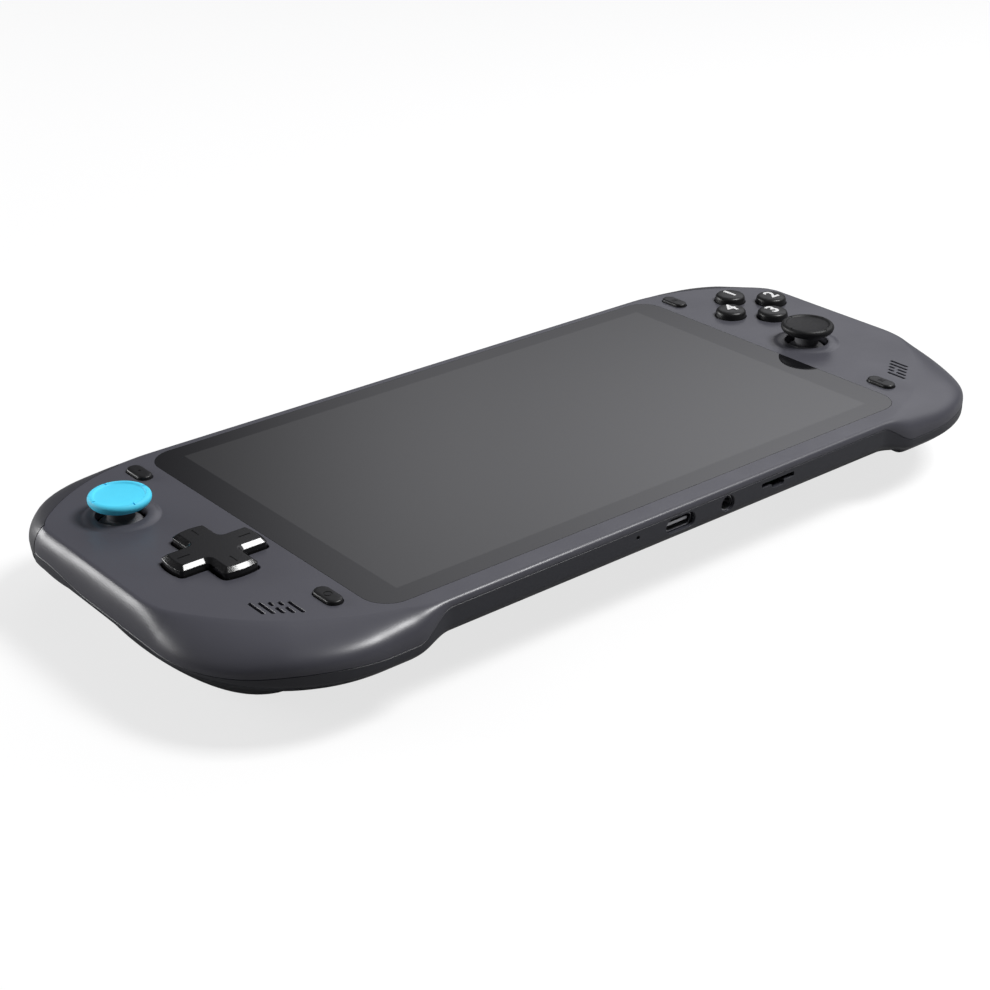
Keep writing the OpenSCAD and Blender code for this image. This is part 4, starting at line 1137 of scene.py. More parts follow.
    def paddle(self) -> bpy.types.Object:
        """Makes the trigger: a finger pad whose outer end follows the corner of the body.

        Returns:
            The trigger, with its boss and the bore for its pin.
        """
        y0, d0 = self.pivot
        path = [(y0 + y, d0 + d) for y, d in self.upper]
        path += [(y0 + y, self.trigger_depth + d) for y, d in self.tip]
        path += [(y0 + y, d0 + d) for y, d in self.back]
        pad = Form.soften(np.array(path), 3)
        middle = pad.mean(0)
        centre, radius = self.body.upper_centre, self.body.upper_r - self.trigger_edge
        first, last = self.trigger_x
        near, far, count = self.trigger_run
        slices = [(first + x, size) for x, size in self.trigger_ends]
        slices += [(x, 1.0) for x in np.linspace(first + near, last - far, count)]
        slices += [(last + x, size) for x, size in self.wing_rows]
        rings = []
        for x, size in slices:
            shape = middle + (pad - middle) * size
            limit = self.body.grip_top - self.trigger_edge
            if x > centre[0]:
                limit = centre[1] + math.sqrt(radius ** 2 - (x - centre[0]) ** 2)
            y = np.minimum(shape[:, 0], limit)
            if x > last:
                y = np.maximum(y, self.wing_y)
            rings.append(np.c_[np.full(len(y), x), y, -shape[:, 1]])
        made = Form.loft(f"{self.side.word}_trigger_skin", [self.mirrored(r) for r in rings])
        at = (0, y0, -d0)
        ends = [x * self.side.value for x in self.trigger_x]
        Form.carve(made, [Form.lathe("tool", [(self.boss_r, x) for x in ends], at, Axis.X, 40)], Cut.ON)
        bore = [(self.pin_r, x) for x in (ends[0] - self.side.value, ends[1] + self.side.value)]
        Form.carve(made, [Form.lathe("tool", bore, at, Axis.X, 32)])
        return Form.smooth(made, 38)

    def build(self) -> None:
        """Makes both keys."""
        side = self.side.word
        put(self.bumper(), f"{side}_bumper", Look.BUMPER, [f"{side}_bumper"])
        put(self.paddle(), f"{side}_trigger", Look.BUMPER, [f"{side}_trigger"])


@dataclass
class Thumbstick:
    """A stick: a domed shaft under a dished rubber cap."""

    side: Side
    finish: Finish
    slot: str
    pivot_depth: float = 7.0
    dome_r: float = 7.6
    dome_span: float = 52.0
    dome_wall: tuple[float, float] = (0.8, 0.9)
    rod_r: float = 2.0
    stem: Profile = ((3.3, -0.6), (3.3, 0.2), (3.3, 0.9), (3.35, 1.6), (3.45, 2.2), (3.75, 2.6), (4.4, 2.85),
                     (5.0, 2.95))
    hole_r: float = 6.05
    hole_depth: float = 3.0
    hole_edge: Profile = ((0.0, -0.25), (0.08, -0.08), (0.25, 0.0))
    rim: Profile = ((9.6, -0.9), (9.6, 0.0), (9.2, 0.06), (8.8, 0.2), (8.4, 0.38), (8.0, 0.51), (7.5, 0.58),
                    (6.9, 0.6))
    cap: Profile = ((5.0, 2.9), (5.9, 3.04), (6.75, 3.45), (7.28, 4.05), (7.48, 4.7), (7.4, 5.2), (7.12, 5.58),
                    (6.72, 5.77), (6.4, 5.8), (6.12, 5.7), (5.93, 5.5), (5.6, 5.38), (4.0, 5.16), (2.0, 5.03),
                    (0.0, 5.0))
    tick: tuple[float, float, float] = (0.36, 0.45, 0.15)
    tick_span: tuple[float, float] = (6.05, 7.15)

    @property
    def at(self) -> Vector:
        """Middle of the stick in plan, with the height of its top."""
        return spot(f"{self.side.word}_stick_cap")

    def turned(self, name: str, profile: Profile, steps: int) -> bpy.types.Object:
        """A profile turned about the stick's own axis."""
        return Form.lathe(name, profile, (self.at.x, self.at.y, 0), steps=steps)

    def ring(self) -> bpy.types.Object:
        """The raised rim that the front shell has round the stick."""
        return self.turned("tool", [(0.0, self.rim[0][1]), *self.rim, (0.0, self.rim[-1][1])], 128)

    def tools(self) -> list[bpy.types.Object]:
        """Makes the stick's opening in the front shell.

        Returns:
            The tools that cut it.
        """
        top = self.rim[-1][1]
        edge = [(self.hole_r + r, top + z) for r, z in self.hole_edge]
        return [self.turned("tool", [(self.hole_r, -self.hole_depth), *edge, (edge[-1][0], top + CLEAR)], 96)]

    def build(self) -> None:
        """Makes the cap, with four ticks round its rim, and the domed shaft."""
        name, at = f"{self.side.word}_stick", self.at
        profile = np.minimum(Form.smooth_path(self.cap, 4), (math.inf, at.z))
        cap = self.turned(f"{name}_cap_skin", [(0.0, profile[0][1]), *profile], 128)
        inner, outer = self.tick_span
        width, depth, corner = self.tick
        ticks = Form.quarters(at, (inner + outer) / 2, (outer - inner, width), (corner, 4),
                              [at.z - depth, at.z + CLEAR])
        put(Form.smooth(Form.carve(cap, ticks), 30), name, self.finish, [f"{name}_cap"])
        stem = Form.smooth_path(self.stem, 5)
        turn = np.radians(np.linspace(self.dome_span, 0, 30))
        dome = [(self.dome_r * math.sin(a), self.dome_r * math.cos(a) - self.pivot_depth) for a in turn]
        dome = [(r, z) for r, z in dome if r > stem[0][0]]
        foot = (dome[0][0] - self.dome_wall[0], dome[0][1] - self.dome_wall[1])
        rod = [(0.0, -self.pivot_depth), (self.rod_r, -self.pivot_depth), (self.rod_r, foot[1]), foot]
        stem = [(r, z) for r, z in stem if z > dome[-1][1]]
        shaft = self.turned(f"{name}_shaft_skin", [*rod, *dome, *stem, (0.0, stem[-1][1])], 96)
        put(Form.smooth(shaft, 40), name, Look.NECK, [f"{name}_shaft"])


@dataclass
class CrossPad:
    """The direction pad: a cross with broad flat bevels and a dash on each arm."""

    half: float = 11.4
    arm: float = 4.4
    corner_r: float = 0.9
    inner_r: float = 0.8
    least_r: float = 0.25
    bow: float = 0.4
    bow_steps: int = 11
    bevel: tuple[float, float] = (1.15, 1.0)
    bevel_rows: tuple[float, ...] = (0.06, 0.12, 0.88, 0.94)
    below: Profile = ((0.0, -0.1), (-0.015, -0.01))
    above: Profile = ((-0.03, -0.01), (-0.2, 0.0))
    top: float = 2.4
    floor: float = -1.2
    gap: float = 0.5
    hole_depth: float = 3.0
    chamfer: float = 0.12
    dash: tuple[float, float] = (3.2, 0.42)
    dash_r: float = 0.2
    dash_depth: float = 0.12
    dash_at: float = 8.0

    def outline(self, grow: float, steps: int = 6) -> Points:
        """Draws the cross, with its ends bowed a little.

        Args:
            grow: How far it is grown outwards.
            steps: Flats round each corner.

        Returns:
            The closed outline.
        """
        half, arm = self.half + grow, self.arm + grow
        outer, inner = max(self.corner_r + grow, self.least_r), max(self.inner_r - grow, self.least_r)
        flat = 1 - outer / arm
        turn = np.radians(np.linspace(0, 90, steps + 1))
        arc = np.stack([np.cos(turn), np.sin(turn)], 1)
        end = np.linspace(-flat, flat, self.bow_steps)[1:-1]
        points = np.concatenate([arc[::-1] * (outer, -outer) + (half - outer, outer - arm),
                                 np.stack([half + self.bow * (1 - (end / flat) ** 2), end * arm], 1),
                                 arc * outer + (half - outer, arm - outer),
                                 (arm + inner, arm + inner) - arc[::-1] * inner])
        turned = [points]
        for _ in range(3):
            points = np.stack([-points[:, 1], points[:, 0]], 1)
            turned.append(points)
        return np.concatenate(turned)

    def hole(self) -> bpy.types.Object:
        """The tool that cuts the pad's opening."""
        at, rim = spot("dpad"), [self.outline(self.gap), self.outline(self.gap + self.chamfer)]
        return Hole(rim, self.hole_depth, (at.x, at.y)).tool(self.chamfer)

    def build(self) -> None:
        """Makes the pad."""
        at = spot("dpad")
        run, drop = self.bevel
        edge = [(0.0, self.floor), *((g, self.top - drop + z) for g, z in self.below)]
        edge += [(-run * t, self.top - drop * (1 - t)) for t in self.bevel_rows]
        edge += [(g - run, self.top + z) for g, z in self.above]
        pad = Form.stack("dpad_skin", [self.outline(g) for g, _ in edge], [z for _, z in edge], (at.x, at.y))
        dashes = Form.quarters(at, self.dash_at, self.dash, (self.dash_r, 5),
                               [self.top - self.dash_depth, self.top + CLEAR])
        put(Form.smooth(Form.carve(pad, dashes), 28), "dpad", Look.PAD, ["dpad"])


@dataclass
class FaceButtons:
    """Four round buttons with a plain number on each."""

    radius: float = 4.5
    gap: float = 0.12
    hole_depth: float = 4.0
    chamfer: float = 0.1
    number: float = 6.2
    number_lift: float = 0.02
    bold: float = 0.14
    ink: float = 0.08
    profile: Profile = ((4.45, -1.6), (4.45, 0.2), (4.42, 0.8), (4.36, 1.3), (4.22, 1.66), (3.95, 1.94),
                        (3.5, 2.12), (2.7, 2.23), (1.4, 2.285), (0.0, 2.3))

    def holes(self) -> list[bpy.types.Object]:
        """Makes the buttons' openings.

        Returns:
            The tools that cut them.
        """
        r, rim = self.radius + self.gap, self.radius + self.gap + self.chamfer
        profile = [(0.0, -self.hole_depth), (r, -self.hole_depth), (r, -self.chamfer), (rim, 0.0), (rim, CLEAR),
                   (0.0, CLEAR)]
        return [Form.lathe("tool", profile, (at.x, at.y, 0)) for at in self.spots()]

    def spots(self) -> list[Vector]:
        """Middles of the four buttons."""
        return [spot(f"face_button_{i}") for i in range(1, 5)]

    def mark(self, name: str, text: str, at: Vector) -> bpy.types.Object:
        """Lays a number on a button's top.

        Args:
            name: The mark's name.
            text: The number.
            at: Middle of the button.

        Returns:
            The mark as a mesh.
        """
        curve = bpy.data.curves.new(name, "FONT")
        curve.body = text
        curve.size = self.number * MM
        curve.align_x, curve.align_y = "CENTER", "CENTER"
        curve.extrude = self.ink * MM
        curve.offset = self.bold * MM
        curve.resolution_u = 6
        drawn = bpy.data.objects.new(f"{name}_drawn", curve)
        drawn.location = Form.place((at.x, at.y, self.profile[-1][1] + self.number_lift))
        bpy.context.scene.collection.objects.link(drawn)
        bpy.context.view_layer.update()
        shown = drawn.evaluated_get(bpy.context.evaluated_depsgraph_get())
        data = bpy.data.meshes.new_from_object(shown)
        data.transform(drawn.matrix_world)
        made = bpy.data.objects.new(name, data)
        bpy.context.scene.collection.objects.link(made)
        bpy.data.objects.remove(drawn)
        return made

    def build(self) -> None:
        """Makes the buttons and their numbers."""
        floor = self.profile[0]
        profile = [(0.0, floor[1]), floor, *Form.smooth_path(self.profile[1:], 4)]
        for i, at in enumerate(self.spots(), 1):
            name = f"face_button_{i}"
            button = Form.lathe(f"{name}_skin", profile, (at.x, at.y, 0), steps=96)
            put(Form.smooth(button, 40), name, Look.KEYS, [name])
            put(self.mark(f"{name}_mark", str(i), at), name, Look.MARK)


@dataclass
class PillButtons:
    """Four small long buttons with a plain mark sunk in each."""

    size: tuple[float, float] = (4.0, 8.3)
    gap: float = 0.15
    hole_depth: float = 3.5
    chamfer: float = 0.1
    edge: Profile = ((0.0, -1.4), (0.0, 0.45), (-0.05, 0.62), (-0.16, 0.76), (-0.36, 0.85), (-0.7, 0.89),
                     (-1.2, 0.9))
    mark_depth: float = 0.12
    ring: tuple[float, float] = (0.75, 1.05)
    dot: float = 0.4
    bar: tuple[float, float, float] = (1.7, 0.3, 0.12)
    two_bars: tuple[float, ...] = (-0.4, 0.4)
    three_bars: tuple[float, ...] = (-0.65, 0.0, 0.65)
    names: tuple[str, ...] = ("top_left", "top_right", "low_left", "low_right")

    def outline(self, grow: float) -> Points:
        """A stadium, grown outwards by so much."""
        return Form.stadium(*self.size, grow, 14)

    def holes(self) -> list[bpy.types.Object]:
        """Makes the buttons' openings.

        Returns:
            The tools that cut them.
        """
        rim = [self.outline(self.gap), self.outline(self.gap + self.chamfer)]
        spots = [spot(f"pill_{name}") for name in self.names]
        return [Hole(rim, self.hole_depth, (at.x, at.y)).tool(self.chamfer) for at in spots]

    def marks(self, name: str, at: Vector) -> list[bpy.types.Object]:
        """Makes a button's sunk mark: a ring, a dot, or two or three bars.

        Args:
            name: Which button.
            at: Its middle.

        Returns:
            The tools that cut the mark.
        """
        top = self.edge[-1][1]
        low, high = top - self.mark_depth, top + CLEAR

        def disc(radius: float, grow: float, steps: int) -> bpy.types.Object:
            """A round tool that is longer at both ends by so much."""
            profile = [(radius, low - grow), (radius, high + grow)]
            return Form.lathe("tool", profile, (at.x, at.y, 0), steps=steps)

        if name == "low_left":
            return [Form.carve(disc(self.ring[1], 0, 48), [disc(self.ring[0], CLEAR, 48)])]
        if name == "top_left":
            return [disc(self.dot, 0, 32)]
        length, width, corner = self.bar
        bar = Form.rounded(length, width, corner, 4)
        rows = self.two_bars if name == "top_right" else self.three_bars
        return [Form.stack("tool", [bar, bar], [low, high], (at.x, at.y + y)) for y in rows]

    def build(self) -> None:
        """Makes the buttons."""
        outlines, heights = [self.outline(g) for g, _ in self.edge], [z for _, z in self.edge]
        for name in self.names:
            at = spot(f"pill_{name}")
            pill = Form.stack(f"pill_{name}_skin", outlines, heights, (at.x, at.y))
            put(Form.smooth(Form.carve(pill, self.marks(name, at)), 30), f"pill_{name}",
                Look.KEYS, [f"pill_{name}"])


@dataclass
class Screen:
    """The cover glass, flush with the face."""

    corner_r: float = 7.0
    thickness: float = 0.8
    gap: float = 0.1
    window: tuple[float, float, float] = (160.3, 92.3, 1.0)
    window_span: tuple[float, float] = (-4.0, 0.5)

    def outline(self, grow: float) -> Points:
        """Draws the glass.

        Args:
            grow: How far the outline is grown outwards.

        Returns:
            The closed outline.
        """
        low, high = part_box("screen_glass")
        size = [(high[i] - low[i]) / MM + 2 * grow for i in (0, 1)]
        return Form.rounded(*size, self.corner_r + grow, 16)

    def tools(self) -> list[bpy.types.Object]:
        """Makes the glass's recess and the window behind it.

        Returns:
            The tools that cut them.
        """
        at, rim, window = spot("screen_glass"), self.outline(self.gap), Form.rounded(*self.window)
        return [Form.stack("tool", [rim, rim], [-self.thickness, CLEAR], (at.x, at.y)),
                Form.stack("tool", [window, window], self.window_span)]

    def build(self) -> None:
        """Makes the glass."""
        at = spot("screen_glass")
        glass = Form.stack("screen_glass_skin", [self.outline(0.0)] * 2, [-self.thickness, 0.0], (at.x, at.y))
        put(Form.smooth(glass, 50), ROOT, Look.GLASS, ["screen_glass"])


@dataclass
class TopKeys:
    """The power button and the volume rocker on the top edge."""

    body: BodyForm
    width: float = 2.4
    depth: float = 4.0
    proud: float = 0.5
    gap: float = 0.25
    hole_depth: float = 4.0
    chamfer: float = 0.2
    edge: Profile = ((0.0, -3.2), (0.0, -0.35), (-0.08, -0.15), (-0.3, -0.02), (-0.6, 0.0))
    keys: tuple[tuple[str, float, float], ...] = (("power_button", 58.0, 10.0), ("volume_rocker", -60.0, 18.0))

    def stack(self, name: str, x: float, length: float, rows: Profile, face: float) -> bpy.types.Object:
        """Lofts stadiums along y.

        Args:
            name: The object's name.
            x: Middle of the key.
            length: The key's length.
            rows: How far each stadium is grown, and its place from the face.
            face: Where the rows count from.

        Returns:
            The closed object.
        """
        outlines = [Form.stadium(length, self.width, grow, 12) for grow, _ in rows]
        return Form.loft(name, [np.c_[o[:, 0] + x, np.full(len(o), face + y), o[:, 1] - self.depth]
                                for o, (_, y) in zip(outlines, rows)])

    def holes(self) -> list[bpy.types.Object]:
        """Makes the keys' openings.

        Returns:
            The tools that cut them.
        """
        rim = self.gap + self.chamfer
        rows = [(self.gap, -self.hole_depth), (self.gap, -self.chamfer), (rim, 0.0), (rim, 2 * CLEAR)]
        return [self.stack("tool", x, n, rows, self.body.waist_top) for _, x, n in self.keys]

    def build(self) -> None:
        """Makes the keys."""
        for name, x, n in self.keys:
            key = self.stack(f"{name}_skin", x, n, self.edge, self.body.waist_top + self.proud)
            put(Form.smooth(key, 34), name, Look.KEYS, [name])


@dataclass
class Ports:
    """Sockets on the lower edge and the openings in front of them."""

    body: BodyForm
    usb: tuple[float, float, float, float] = (-2.0, 4.5, 9.6, 3.9)
    usb_shell: tuple[float, float, float] = (9.0, 3.3, 0.3)
    usb_length: float = 7.0
    usb_floor: float = 1.0
    tongue: tuple[float, float, float] = (6.7, 0.75, 0.2)
    tongue_ends: tuple[float, float] = (0.4, 0.5)
    jack: tuple[float, float, float] = (14.0, 4.5, 2.2)
    jack_nose: tuple[float, float] = (2.05, 1.775)
    jack_body: tuple[float, float, float] = (6.2, 3.7, 0.5)
    nose_span: tuple[float, float] = (0.77, 4.0)
    body_span: tuple[float, float] = (2.6, 15.0)
    jack_bore: float = 12.0
    card: tuple[float, float, float, float] = (31.6, 3.6, 11.6, 1.2)
    card_r: float = 0.4
    scoop: tuple[float, float, float] = (4.6, 2.1, 0.65)
    mic: tuple[float, float, float] = (-16.0, 3.7, 0.5)
    recess: float = 1.1
    reach: float = 4.0
    scoop_reach: float = 3.0
    chamfer: float = 0.1
    fine_chamfer: float = 0.05

    def run(self, place: Sequence[float], size: Sequence[float], radius: float,
            rows: Profile) -> bpy.types.Object:
        """Makes a straight form along y.

        Args:
            place: Its x and its depth.
            size: Its width and height.
            radius: Its corners' radius.
            rows: Each section's distance behind the wall, and how far it is grown.

        Returns:
            The closed object.
        """
        (x, depth), rings = place[:2], []
        for y, grow in rows:
            o = Form.rounded(size[0] + 2 * grow, size[1] + 2 * grow, radius + grow - TINY, 12)
            rings.append(np.c_[o[:, 0] + x, np.full(len(o), y - self.body.waist_bottom), o[:, 1] - depth])
        return Form.loft("tool", rings)

    def cut(self, place: Sequence[float], size: Sequence[float], radius: float, reach: float,
            chamfer: float) -> bpy.types.Object:
        """A tool that goes in through the lower wall, with a fine chamfer at its mouth."""
        return self.run(place, size, radius, [(reach, 0), (chamfer, 0), (0, chamfer), (-2 * CLEAR, chamfer)])

    def bar(self, place: Sequence[float], size: Sequence[float], radius: float,
            span: tuple[float, float]) -> bpy.types.Object:
        """A plain form from one distance behind the wall to another."""
        return self.run(place, size, radius, [(y, 0) for y in span])

    def tools(self) -> list[bpy.types.Object]:
        """Makes all openings.

        Returns:
            The tools that cut them.
        """
        made = [self.cut(self.usb, self.usb[2:], self.usb[3] / 2, self.reach, self.chamfer)]
        for hole, chamfer in ((self.jack, self.chamfer), (self.mic, self.fine_chamfer)):
            made.append(self.cut(hole, (2 * hole[2],) * 2, hole[2], self.reach, chamfer))
        slit = self.cut(self.card, self.card[2:], self.card_r, self.reach, self.fine_chamfer)
        wide, high, below = self.scoop
        place = (self.card[0], self.card[1] + below)
        scoop = self.cut(place, (wide, high), high / 2, self.scoop_reach, self.fine_chamfer)
        return [*made, Form.carve(slit, [scoop], Cut.ON)]

    def build(self) -> None:
        """Makes the USB and audio sockets."""
        width, height, wall = self.usb_shell
        front, back = self.recess, self.recess + self.usb_length
        usb = self.bar(self.usb, (width, height), height / 2, (front, back))
        room = (width - 2 * wall, height - 2 * wall)
        Form.carve(usb, [self.bar(self.usb, room, height / 2 - wall, (-CLEAR, back - self.usb_floor))])
        ends = (front + self.tongue_ends[0], back - self.tongue_ends[1])
        Form.carve(usb, [self.bar(self.usb, self.tongue, self.tongue[2], ends)], Cut.ON)
        nose, bore = self.jack_nose
        jack = self.bar(self.jack, self.jack_body, self.jack_body[2], self.body_span)
        Form.carve(jack, [self.bar(self.jack, (2 * nose, 2 * nose), nose, self.nose_span)], Cut.ON)
        Form.carve(jack, [self.bar(self.jack, (2 * bore, 2 * bore), bore, (-CLEAR, self.jack_bore))])
        for made, name in ((usb, "usb_socket"), (jack, "audio_jack")):
            made.name = f"{name}_skin"
            put(Form.smooth(made, 40), ROOT, Look.STEEL, [name])


@dataclass
class Grille:
    """Slanted rows of slots over a speaker, two of them split by a bar."""

    side: Side
    middle: tuple[float, float] = (102.4, -34.0)
    pitch: tuple[float, float] = (1.75, 1.2)
    rows: tuple[int, ...] = (-2, -1, 0, 1, 2)
    slot: tuple[float, float] = (0.8, 6.1)
    bar: float = 0.9
    split: tuple[int, ...] = (0, -1)
    split_shares: tuple[float, float] = (0.4, 0.6)
    depth: float = 3.0
    rim: float = 0.08
    chamfer: float = 0.1

    def tools(self) -> list[bpy.types.Object]:
        """Makes all slots.

        Returns:
            The tools that cut them.
        """
        made = []
        width, full = self.slot
        for i in self.rows:
            x = (self.middle[0] + self.pitch[0] * i) * self.side.value
            y = self.middle[1] + self.pitch[1] * i
            parts = [(y, full)]
            if i in self.split:
                up, down = (share * full - self.bar / 2 for share in self.split_shares)
                parts = [(y + (full - up) / 2, up), (y - (full - down) / 2, down)]
            for at, length in parts:
                outlines = [Form.stadium(width, length, grow, 8) for grow in (0.0, self.rim)]
                made.append(Hole(outlines, self.depth, (x, at)).tool(self.chamfer))
        return made


@dataclass
class Shells:
    """The front and rear shells, with every opening cut through them."""

    body: BodyForm
    shoulders: Sequence[Shoulder]
    rims: list[bpy.types.Object]
    front_tools: list[bpy.types.Object]
    rear_tools: list[bpy.types.Object]
    front_inside: tuple[float, float, float] = (0.45, 1.02, 0.4)
    rear_inside: Profile = ((9.0, 0.8), (3.0, 0.42))
    screw_x: float = 84.5
    screw_y: tuple[float, float, float] = (27.2, 1.0, -28.0)
    screw_head: tuple[float, float] = (1.9, 1.0)
    screw_shank: tuple[float, float] = (0.75, 6.0)
    screw_edge: Profile = ((0.0, 0.35), (0.15, 0.2))
    screw_cross: tuple[float, float, float, float] = (2.0, 0.5, 0.1, 0.75)
    screw_gap: float = 0.2

    def front(self) -> bpy.types.Object:
        """Makes the front shell: flat face, sloping edge and a hollow inside.

        Returns:
            The shell without its openings.
        """
        s, b = self.body.outline(), self.body
        width, seam = b.width(s), b.seam(s)
        part, deeper, beyond = self.front_inside
        rings = b.front_edge(s)
        rings += [b.ring(s, b.wall, seam), b.ring(s, b.wall + part * width, mix(b.wall, seam, part) * deeper),
                  b.ring(s, b.wall + width + beyond, b.wall)]
        return Form.loft("front_shell_skin", rings)

    def rear(self) -> bpy.types.Object:
        """Makes the rear shell: band, turned back and grips.

        Returns:
            The shell without its openings.
        """
        s, b = self.body.outline(), self.body
        seam, low, band = b.seam(s), b.low(s.share), b.band(s)
        inner = b.body_depth - b.back_wall
        rings = [b.ring(s, b.back_turn, inner)]
        rings += [b.ring(s, b.wall + way, mix(low, inner, share)) for way, share in self.rear_inside]
        rings += [b.ring(s, inset, depth) for inset, depth in
                  ((b.wall, low), (b.wall, seam), (b.lip, seam), (0.0, seam + b.lip))]
        rings += [b.ring(s, 0.0, mix(seam + b.lip, band, u)) for u in (0.5, 1.0)]
        cover, faces = b.back_cover(s)
        around = len(s.p)
        first = (len(rings) - 1) * around
        faces = [[first + i for i in f] for f in faces]
        faces += Form.ladder(len(rings), around) + [list(range(around))]
        return Form.build("rear_shell_skin", np.concatenate([*rings, cover]), faces)

    def places(self) -> list[tuple[float, float]]:
        """Middles of the case screws."""
        return [(x, y) for x in (-self.screw_x, self.screw_x) for y in self.screw_y]

    def screws(self) -> bpy.types.Object:
        """Makes the case screws: pan heads with a cross recess.

        Returns:
            All of them as one piece.
        """
        (r, deep), (shank, length) = self.screw_head, self.screw_shank
        long, wide, corner, recess = self.screw_cross
        low = -self.body.body_depth
        edge = [(r - inset, low + z) for inset, z in self.screw_edge]
        under, tip = low + deep, low + deep + length
        profile = [(0.0, tip), (shank, tip), (shank, under), (r, under), *edge, (0.0, edge[-1][1])]
        cross = [Form.rounded(*size, corner, 3) for size in ((long, wide), (wide, long))]
        heads = []
        for x, y in self.places():
            head = Form.lathe("tool" if heads else "case_screws_skin", profile, (x, y, 0), steps=40)
            slots = [Form.stack("tool", [c, c], [low - CLEAR, low + recess], (x, y)) for c in cross]
            heads.append(Form.carve(head, slots))
        return Form.carve(heads[0], heads[1:], Cut.ON)

    def build(self) -> None:
        """Makes the shells and the screws that hold them together."""
        front = Form.carve(self.front(), self.rims, Cut.ON)
        Form.carve(front, [*self.front_tools, *(s.notch() for s in self.shoulders)])
        put(Form.smooth(front, 30), ROOT, Look.SHELL, ["front_shell"])
        r, low = self.screw_head[0] + self.screw_gap, -self.body.body_depth
        profile = [(r, low - 2 * CLEAR), (r, low + self.screw_head[1])]
        holes = [Form.lathe("tool", profile, (x, y, 0), steps=48) for x, y in self.places()]
        cuts = [t for s in self.shoulders for t in (s.notch(), s.pocket())]
        rear = Form.carve(self.rear(), [*self.rear_tools, *holes, *cuts])
        put(Form.smooth(rear, 32), ROOT, Look.BACK, ["rear_shell"])
        put(Form.smooth(self.screws(), 34), ROOT, Look.STEEL, ["case_screws"])


@dataclass
class Insides:
    """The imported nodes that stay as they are, with a finish for each."""

    finishes: dict[str, Finish] = field(default_factory=lambda: {
        "display_panel": Look.PANEL, "chassis_plate": Look.ALLOY, "main_board": Look.BOARD,
        "control_board": Look.BOARD, "shield_can": Look.STEEL, "battery": Look.CELL, "ribbon": Look.FLEX,
        "membrane": Look.SILICONE, "speaker": Look.MOULDED, "card_socket": Look.MOULDED,
        "microphone": Look.GOLD, "housing": Look.MOULDED, "rocker": Look.NYLON})
    other: Finish = Look.STEEL

    def build(self) -> None:
        """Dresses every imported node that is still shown."""
        for name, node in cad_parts.items():
            if node.hide_render:
                continue
            found = [f for word, f in self.finishes.items() if word in name]
            node.data.materials.clear()
            node.data.materials.append((found[0] if found else self.other).material())
            LOG.info("node %s dressed", name)


@dataclass
class Lamp:
    """A soft panel of light that faces the console."""

    name: str
    direction: Color
    distance: float
    size: tuple[float, float]
    radiance: float

    def build(self, aim: Vector) -> None:
        """Makes the lamp.

        Args:
            aim: The point that it faces.
        """
        data = bpy.data.lights.new(self.name, "AREA")
        data.shape = "RECTANGLE"
        data.size, data.size_y = self.size
        data.energy = 4 * self.radiance * self.size[0] * self.size[1]
        lamp = bpy.data.objects.new(self.name, data)
        way = Vector(self.direction).normalized()
        lamp.location = aim + way * self.distance
        lamp.rotation_mode = "QUATERNION"
        lamp.rotation_quaternion = (-way).to_track_quat("-Z", "Y")
        lamp.visible_camera = False
        bpy.context.scene.collection.objects.link(lamp)


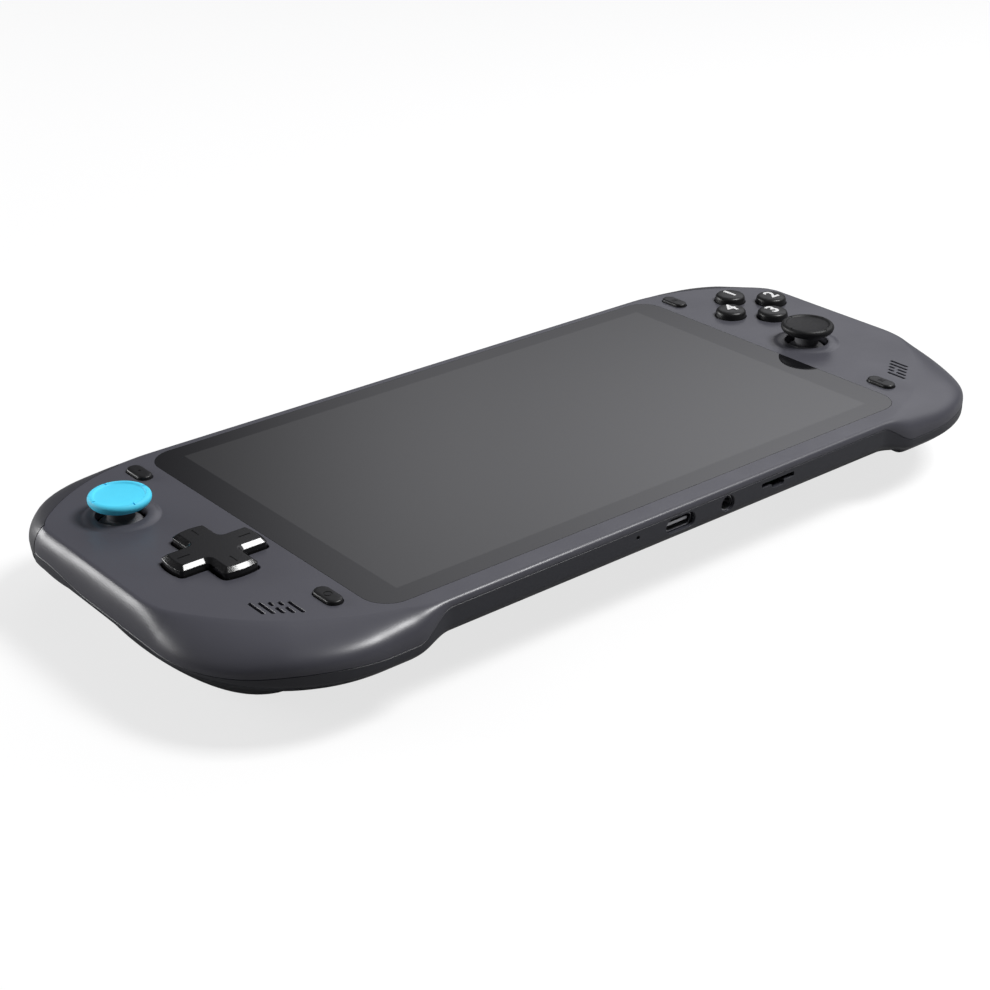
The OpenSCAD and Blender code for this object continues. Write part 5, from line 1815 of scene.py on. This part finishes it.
@dataclass
class Studio:
    """Floor, lamps, surroundings and camera."""

    camera_at: Color = (-293.63, -334.57, 227.69)
    azimuth: float = -39.81
    elevation: float = 26.50
    lens: float = 69.58
    sensor: float = 36.0
    near: float = 0.01
    floor_size: float = 4.0
    floor_gap: float = 0.05
    floor_glow: float = 0.74
    floor_color: Color = (0.26, 0.26, 0.26)
    floor_mottle: tuple[float, float] = (3.0, 1.03)
    floor_roughness: float = 0.9
    sky_way: Color = (0.80, -0.60, 0.0)
    sky_start: tuple[float, float] = (-0.16, 0.04)
    sky_gain: tuple[float, float, float] = (0.0, 0.26, 0.72)
    sky_rise: tuple[float, float] = (0.25, 0.46)
    sky_top: tuple[float, float, float] = (0.5, 0.75, 0.72)
    sky_front: tuple[float, float] = (-0.5, 0.1)
    sky_dark: Color = (0.06, 0.06, 0.066)
    sky_bright: Color = (0.86, 0.86, 0.90)
    backdrop: Color = (1.0, 1.0, 1.0)
    lamps: tuple[Lamp, ...] = (
        Lamp("key_panel", (0.41, -0.35, 0.84), 1.2, (0.38, 0.38), 26.0),
        Lamp("side_panel", (-0.58, 0.80, 0.15), 1.2, (0.90, 0.32), 9.0))

    def floor(self) -> None:
        """A pale floor that takes the console's shadow."""
        half = self.floor_size / MM
        corners = np.array([(-half, -half), (half, -half), (half, half), (-half, half)])
        made = Form.build("floor", np.c_[corners, np.full(4, -FRONT - self.floor_gap)], [[0, 1, 2, 3]])
        nodes = NodeSet.material("pale_floor")
        seen = nodes.add("ShaderNodeLightPath", output="Is Camera Ray")
        glow = nodes.blend(seen, (0.0, 0.0, 0.0), (self.floor_glow,) * 3)
        scale, paler = self.floor_mottle
        pale = nodes.blend(nodes.noise(scale), self.floor_color, tuple(c * paler for c in self.floor_color))
        nodes.set(Base_Color=pale, Roughness=self.floor_roughness, Emission_Color=glow, Emission_Strength=1.0,
                  Specular_IOR_Level=0.0)
        made.data.materials.append(nodes.owner)

    def surroundings(self) -> None:
        """A soft sky: a bright wall on the right, dim overhead and dark on the left and in front."""
        nodes = NodeSet.world("studio")
        way = nodes.add("ShaderNodeTexCoord", output="Generated")
        facing = nodes.add("ShaderNodeVectorMath", {"operation": "DOT_PRODUCT"}, {0: way, 1: self.sky_way}, 1)
        _, depth, height = nodes.split(way)
        low, high, gain = self.sky_gain
        share = nodes.ramp(facing, *self.sky_start) * (nodes.ramp(facing, low, high) * gain + 1)
        low, high, loss = self.sky_top
        share = share * nodes.ramp(height, *self.sky_rise) * (1 - nodes.ramp(height, low, high) * loss)
        share = share * nodes.ramp(depth, *self.sky_front)
        seen = nodes.add("ShaderNodeLightPath", output="Is Camera Ray")
        nodes.set(Color=nodes.blend(seen, nodes.blend(share, self.sky_dark, self.sky_bright), self.backdrop))
        bpy.context.scene.world = nodes.owner

    def camera(self) -> None:
        """The camera, where the photo was taken from."""
        data = bpy.data.cameras.new("camera")
        data.lens, data.sensor_width = self.lens, self.sensor
        data.clip_start = self.near
        made = bpy.data.objects.new("camera", data)
        a, e = math.radians(self.azimuth), math.radians(self.elevation)
        back = Vector((math.sin(a) * math.cos(e), -math.cos(a) * math.cos(e), math.sin(e)))
        right = Vector((math.cos(a), math.sin(a), 0))
        turn = Matrix((right, back.cross(right), back)).transposed()
        made.matrix_world = Matrix.Translation(Vector(self.camera_at) * MM) @ turn.to_4x4()
        bpy.context.scene.collection.objects.link(made)
        bpy.context.scene.camera = made

    def build(self) -> None:
        """Sets up the studio."""
        self.floor()
        self.surroundings()
        self.camera()
        for lamp in self.lamps:
            lamp.build(Vector((0, 0, FRONT * MM)))
        bpy.context.scene.view_settings.view_transform = "Standard"
        LOG.info("studio set up with %d lamps", len(self.lamps))


def main() -> None:
    """Builds the console and its studio."""
    logging.basicConfig(level=logging.INFO, format="%(name)s: %(message)s")
    body = BodyForm()
    sticks = [Thumbstick(Side.LEFT, Look.BLUE, "blue_rubber"),
              Thumbstick(Side.RIGHT, Look.RUBBER, "black_rubber")]
    pad, buttons, pills, screen = CrossPad(), FaceButtons(), PillButtons(), Screen()
    keys, ports = TopKeys(body), Ports(body)
    shoulders = [Shoulder(body, side) for side in Side]
    front_tools = [*screen.tools(), pad.hole(), *buttons.holes(), *pills.holes()]
    for part in [*sticks, *(Grille(side) for side in Side)]:
        front_tools += part.tools()
    shells = Shells(body, shoulders, [s.ring() for s in sticks], front_tools, [*keys.holes(), *ports.tools()])
    for part in (shells, screen, *sticks, pad, buttons, pills, *shoulders, keys, ports, Insides(), Studio()):
        part.build()


if __name__ == "__main__":
    main()
